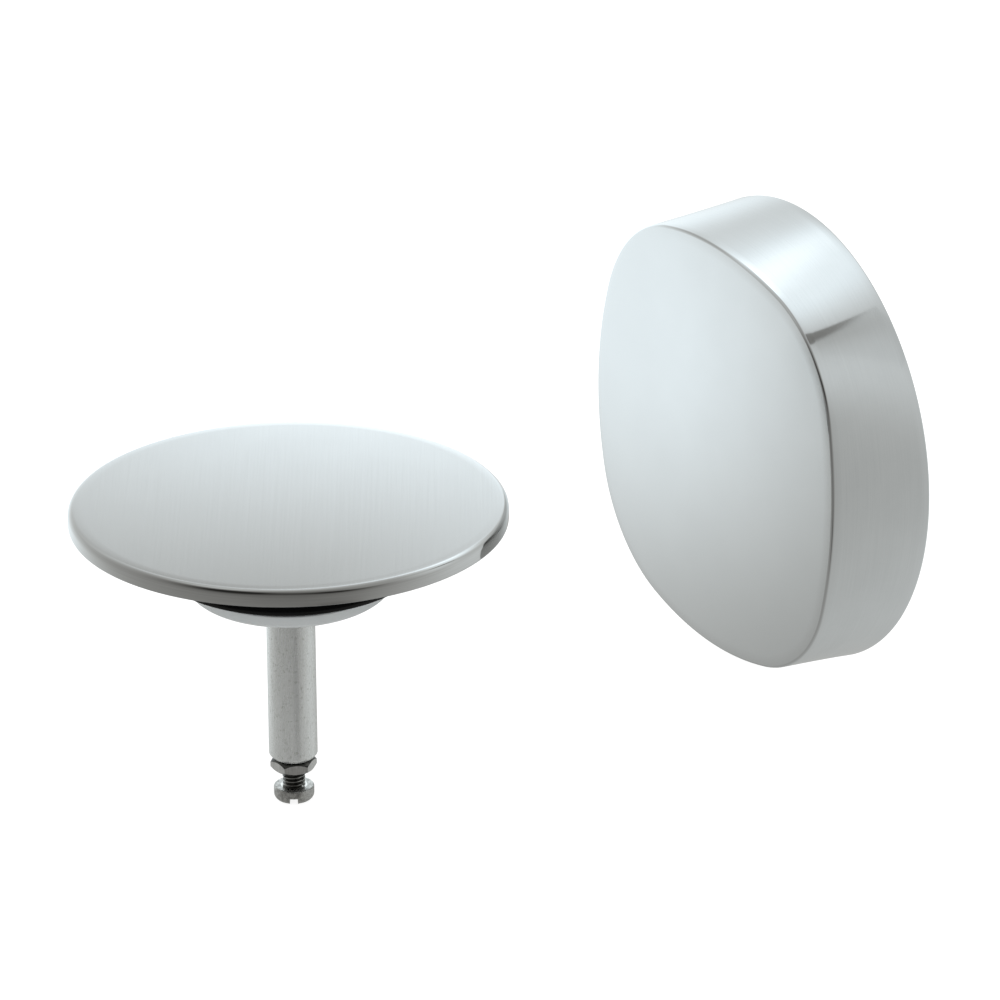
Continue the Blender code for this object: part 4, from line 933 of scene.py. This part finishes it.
def makeLockNut():
    size = nutSize
    low, high = plugHeights("lock_nut")
    bore, lead = size["bore"], size["lead"]
    half = size["acrossFlats"] / 2
    corner = half / math.cos(math.radians(30)) + size["cornerSpare"]
    flatEnd = half * size["chamferFrom"]
    drop = (corner - flatEnd) * math.tan(math.radians(size["chamferSlope"]))
    shape = turned([
        (bore + lead, high, 0.05), (flatEnd, high, 0.1), (corner, high - drop, 0),
        (corner, low + drop, 0), (flatEnd, low, 0.1), (bore + lead, low, 0.05),
        (bore, low + lead, 0), (bore, high - lead, 0),
    ], size["steps"])
    for angle in evenly(6, size["cornerAt"] + 30):
        facing = Vector((math.cos(math.radians(angle)), math.sin(math.radians(angle)), 0))
        sliceOff(shape, facing * half * mm, facing)

    # the flats get the nut's steel, the chamfers its dark copy with painted reflection and shade
    def choose(face):
        return 0 if abs(face.normal.z) < size["flatBelow"] else 1
    piece = newPiece(tidied(shape), "lockNut", plugPlace)
    dress(piece, "nut", "lock_nut", ["nutDrawnFlats", "nutChamferPaintedShade"], choose,
          smoothAngle=20)


makeLockNut()
print("stem, stud and lock nut made")


# Adjusting screw: slotted cheese head and a real thread along the shank
screwSize = dict(
    crest=2.0, root=1.56, crestDepth=0.15, pitch=0.7, stepsPerTurn=48, shankRoot=0.15,
    foot=2.3, footBelow=0.02, head=3.5, headHeight=2.6, headTopRound=0.3, headFootRound=1.2,
    slotReach=5, slotWidth=1.4, slotDepth=1.3, slotAt=-31, steps=128)


def makeAdjustingScrew():
    size = screwSize
    low, high = plugHeights("adjusting_screw")
    headTop = low + size["headHeight"]
    shape = turned([
        (0, headTop, 0), (size["foot"], headTop, 0), (size["head"], headTop, size["headTopRound"]),
        (size["head"], low, size["headFootRound"]), (0, low, 0),
    ], size["steps"], closed=False)
    piece = newPiece(shape, "adjustingScrew", plugPlace)
    carve(piece, threaded(size, headTop - size["shankRoot"], high), plugPlace, 'UNION')
    slot = blocks((size["slotAt"],), -size["slotReach"], size["slotReach"], size["slotWidth"],
                  low - spare, low + size["slotDepth"])
    carve(piece, slot, plugPlace)
    axis = plugPlace.translation
    footFrom = axis.z + (headTop - size["footBelow"]) * mm
    crestFrom = size["crest"] - size["crestDepth"]

    def choose(face):  # the head; the thread's crests, with a painted highlight; then its roots and the shank's foot, with painted shade
        out = (face.center.xy - axis.xy).length / mm
        if out > size["foot"] or face.center.z < footFrom:
            return 0
        return 1 if out > crestFrom else 2
    dress(piece, "foot_screw", "adjusting_screw",
          ["screwHeadNickel", "threadCrestPaintedHighlight", "threadRootPaintedShade"], choose, smoothAngle=28)


makeAdjustingScrew()
print("adjusting screw made")


# Floor, light tent and camera
studio = dict(
    floorDrop=0.05, floorReach=4000, floorSegments=96, floorColour=(0.35, 0.35, 0.35),
    floorRough=0.9, floorGlow=0.86, worldLight=1.05,
    tentRadius=160, tentCentre=(0, -60, 0), tentFacets=5, tentBase=0.277, tentLowest=0.02,
    tentDark=(1.035, 1.0, 0.935), tentBright=(0.928, 1.0, 1.026),
    glows=(  # azimuth, height angle, spread, strength; the ones below zero take light away
        (155.2, 18.3, 26.9, 0.99), (150.2, 50.6, 17.2, 0.70), (-144.5, 70.0, 17.0, 0.28),
        (-175.6, -7.8, 22.5, 1.21), (158.4, 38.9, 18.0, -0.71), (-27.6, -30.2, 10.9, -0.16),
        (86.3, 58.1, 16.7, 0.64), (71.3, -12.5, 60.0, 0.36), (35.0, 36.0, 19.3, 0.24),
        (54.0, 46.0, 5.0, -0.12), (120.4, 60.6, 9.0, 0.63), (217.1, -12.1, 28.0, 0.43),
        (184.8, -6.8, 17.2, -0.77), (-72.2, 31.2, 17.9, -0.21), (-23.0, 31.2, 15.4, -0.21),
        (-127.7, 29.0, 22.6, 0.07), (-23.0, 78.0, 17.4, 0.08), (-36.2, 6.0, 46.1, -0.15),
        (-93.9, 52.0, 11.5, 0.30), (-18.0, 37.5, 11.5, 0.17), (-138.0, 38.0, 14.0, 0.18),
        (-66.0, 29.0, 9.5, -0.05), (-46.0, 29.0, 9.5, -0.05), (-26.0, 29.0, 9.5, -0.05),
        (-8.0, 29.0, 9.5, -0.04), (-150.0, 50.0, 7.0, 0.25), (180.0, 61.0, 8.0, 0.30),
        (137.0, 59.0, 8.0, 0.25)),
    flags=(  # grey cards before the tent: the light each lets through, then where its corners are
        ((0.38, 0.365, 0.35), (
            (62.2, 46.9), (60.6, 48.1), (59.0, 49.3), (55.5, 52.2), (48.0, 55.5), (40.0, 55.5),
            (41.0, 52.0), (45.5, 48.8), (49.0, 47.2), (53.0, 46.1), (57.5, 46.1))),
        ((0.93, 0.93, 0.93), (
            (46.9, 40.0), (45.0, 28.5), (63.0, 28.5), (63.0, 46.8), (53.0, 45.8)))),
    flagGap=2.0,
    camera=dict(
        azimuth=58.852, elevation=22.894, roll=0.427, distance=1172.52, across=35.973,
        above=0.289, lens=248.4, sensor=36.0, near=0.1, far=20))


def aimed(azimuth, height, reach=1.0):  # from the tent's middle towards a spot on it
    turn, rise = math.radians(azimuth), math.radians(height)
    level = reach * math.cos(rise)
    return level * math.cos(turn), level * math.sin(turn), reach * math.sin(rise)


def bareFinish(name):  # an empty finish, and the socket for its surface
    finish = bpy.data.materials.new(name)
    finish.use_nodes = True
    finish.node_tree.nodes.clear()
    target = finish.node_tree.nodes.new("ShaderNodeOutputMaterial")
    return finish, finish.node_tree, target.inputs[0]


def showReflectedOnly(piece):
    piece.visible_camera = piece.visible_diffuse = False
    piece.visible_shadow = piece.visible_transmission = False


def makeFloor():
    shape = bmesh.new()
    bmesh.ops.create_circle(
        shape, cap_ends=True, segments=studio["floorSegments"], radius=studio["floorReach"] * mm)
    lowest = cadBounds[0][2] - studio["floorDrop"] * mm
    floor = newPiece(shape, "floor", Matrix.Translation((0, 0, lowest)))
    finish, tree, shader, coords = newFinish("paleFloor", 0.0)
    setSockets(tree, shader, {
        "Base Color": (*studio["floorColour"], 1), "Roughness": studio["floorRough"],
        "Specular IOR Level": 0.0, "Emission Color": (1, 1, 1, 1),
        "Emission Strength": studio["floorGlow"]})
    # Open to a look from underneath
    below = addNode(tree, "ShaderNodeNewGeometry", {}, output="Backfacing")
    clear = addNode(tree, "ShaderNodeBsdfTransparent", {})
    sheet = addNode(tree, "ShaderNodeMixShader", {0: below, 1: shader.outputs[0], 2: clear})
    tree.links.new(sheet, tree.nodes["Material Output"].inputs["Surface"])
    finish.cycles.emission_sampling = 'NONE'
    floor.data.materials.append(finish)
    floor.visible_glossy = False


def makeTent():
    shape = bmesh.new()
    bmesh.ops.create_icosphere(
        shape, subdivisions=studio["tentFacets"], radius=studio["tentRadius"] * mm)
    centre = Vector(studio["tentCentre"]) * mm
    tent = newPiece(shape, "lightTent", Matrix.Translation(centre))
    finish, tree, surface = bareFinish("tentLight")
    coords = addNode(tree, "ShaderNodeTexCoord", {}, output="Object")
    offset = addNode(tree, "ShaderNodeVectorMath", {0: coords, 1: centre}, operation='SUBTRACT')
    facing = addNode(tree, "ShaderNodeVectorMath", {0: offset}, operation='NORMALIZE')
    level = studio["tentBase"]
    for azimuth, height, width, strength in studio["glows"]:
        tight = 1 / (1 - math.cos(math.radians(width)))
        near = addNode(tree, "ShaderNodeVectorMath", {0: facing, 1: aimed(azimuth, height)},
                       output="Value", operation='DOT_PRODUCT')
        power = mathNode(tree, 'MULTIPLY_ADD', near, tight, -tight)
        level = mathNode(tree, 'MULTIPLY_ADD', mathNode(tree, 'EXPONENT', power), strength, level)
    level = mathNode(tree, 'MAXIMUM', level, studio["tentLowest"])
    tint = mixColours(tree, level, studio["tentDark"], studio["tentBright"])
    tree.links.new(addNode(tree, "ShaderNodeEmission", {"Color": tint, "Strength": level}), surface)
    finish.cycles.emission_sampling = 'NONE'
    tent.data.materials.append(finish)
    showReflectedOnly(tent)


def makeFlags():
    centre = Vector(studio["tentCentre"]) * mm
    for index, (through, corners) in enumerate(studio["flags"]):
        reach = (studio["tentRadius"] - studio["flagGap"] * (index + 1)) * mm
        shape = bmesh.new()
        shape.faces.new([shape.verts.new(aimed(*corner, reach)) for corner in corners])
        flag = newPiece(shape, f"flag{index + 1}", Matrix.Translation(centre))
        finish, tree, surface = bareFinish(f"flagGrey{index + 1}")
        veil = addNode(tree, "ShaderNodeBsdfTransparent", {"Color": (*through, 1)})
        tree.links.new(veil, surface)
        flag.data.materials.append(finish)
        showReflectedOnly(flag)


def makeWorld():
    world = bpy.data.worlds.new("paleStudio")
    world.use_nodes = True
    sky = world.node_tree.nodes["Background"]
    sky.inputs["Color"].default_value = (1, 1, 1, 1)
    sky.inputs["Strength"].default_value = studio["worldLight"]
    bpy.context.scene.world = world
    bpy.context.scene.view_settings.view_transform = 'Standard'


def makeCamera():
    look = studio["camera"]
    azimuth, elevation, roll = (math.radians(look[name]) for name in ("azimuth", "elevation", "roll"))
    forward = Vector((
        -math.sin(azimuth) * math.cos(elevation), math.cos(azimuth) * math.cos(elevation),
        -math.sin(elevation)))
    level = Vector((math.cos(azimuth), math.sin(azimuth), 0))
    upward = level.cross(forward)
    capTop = plugPlace.translation + Vector((0, 0, capSize["height"] * mm))
    aim = level * look["across"] + upward * look["above"] - forward * look["distance"]
    right = level * math.cos(roll) - upward * math.sin(roll)
    top = level * math.sin(roll) + upward * math.cos(roll)
    data = bpy.data.cameras.new("photoCamera")
    data.lens = look["lens"]
    data.sensor_width = look["sensor"]
    data.clip_start, data.clip_end = look["near"], look["far"]
    camera = bpy.data.objects.new("photoCamera", data)
    facing = Matrix((right, top, -forward)).transposed().to_4x4()
    camera.matrix_world = Matrix.Translation(capTop + aim * mm) @ facing
    bpy.context.scene.collection.objects.link(camera)
    bpy.context.scene.camera = camera


makeFloor()
makeTent()
makeFlags()
makeWorld()
makeCamera()
print("studio made")
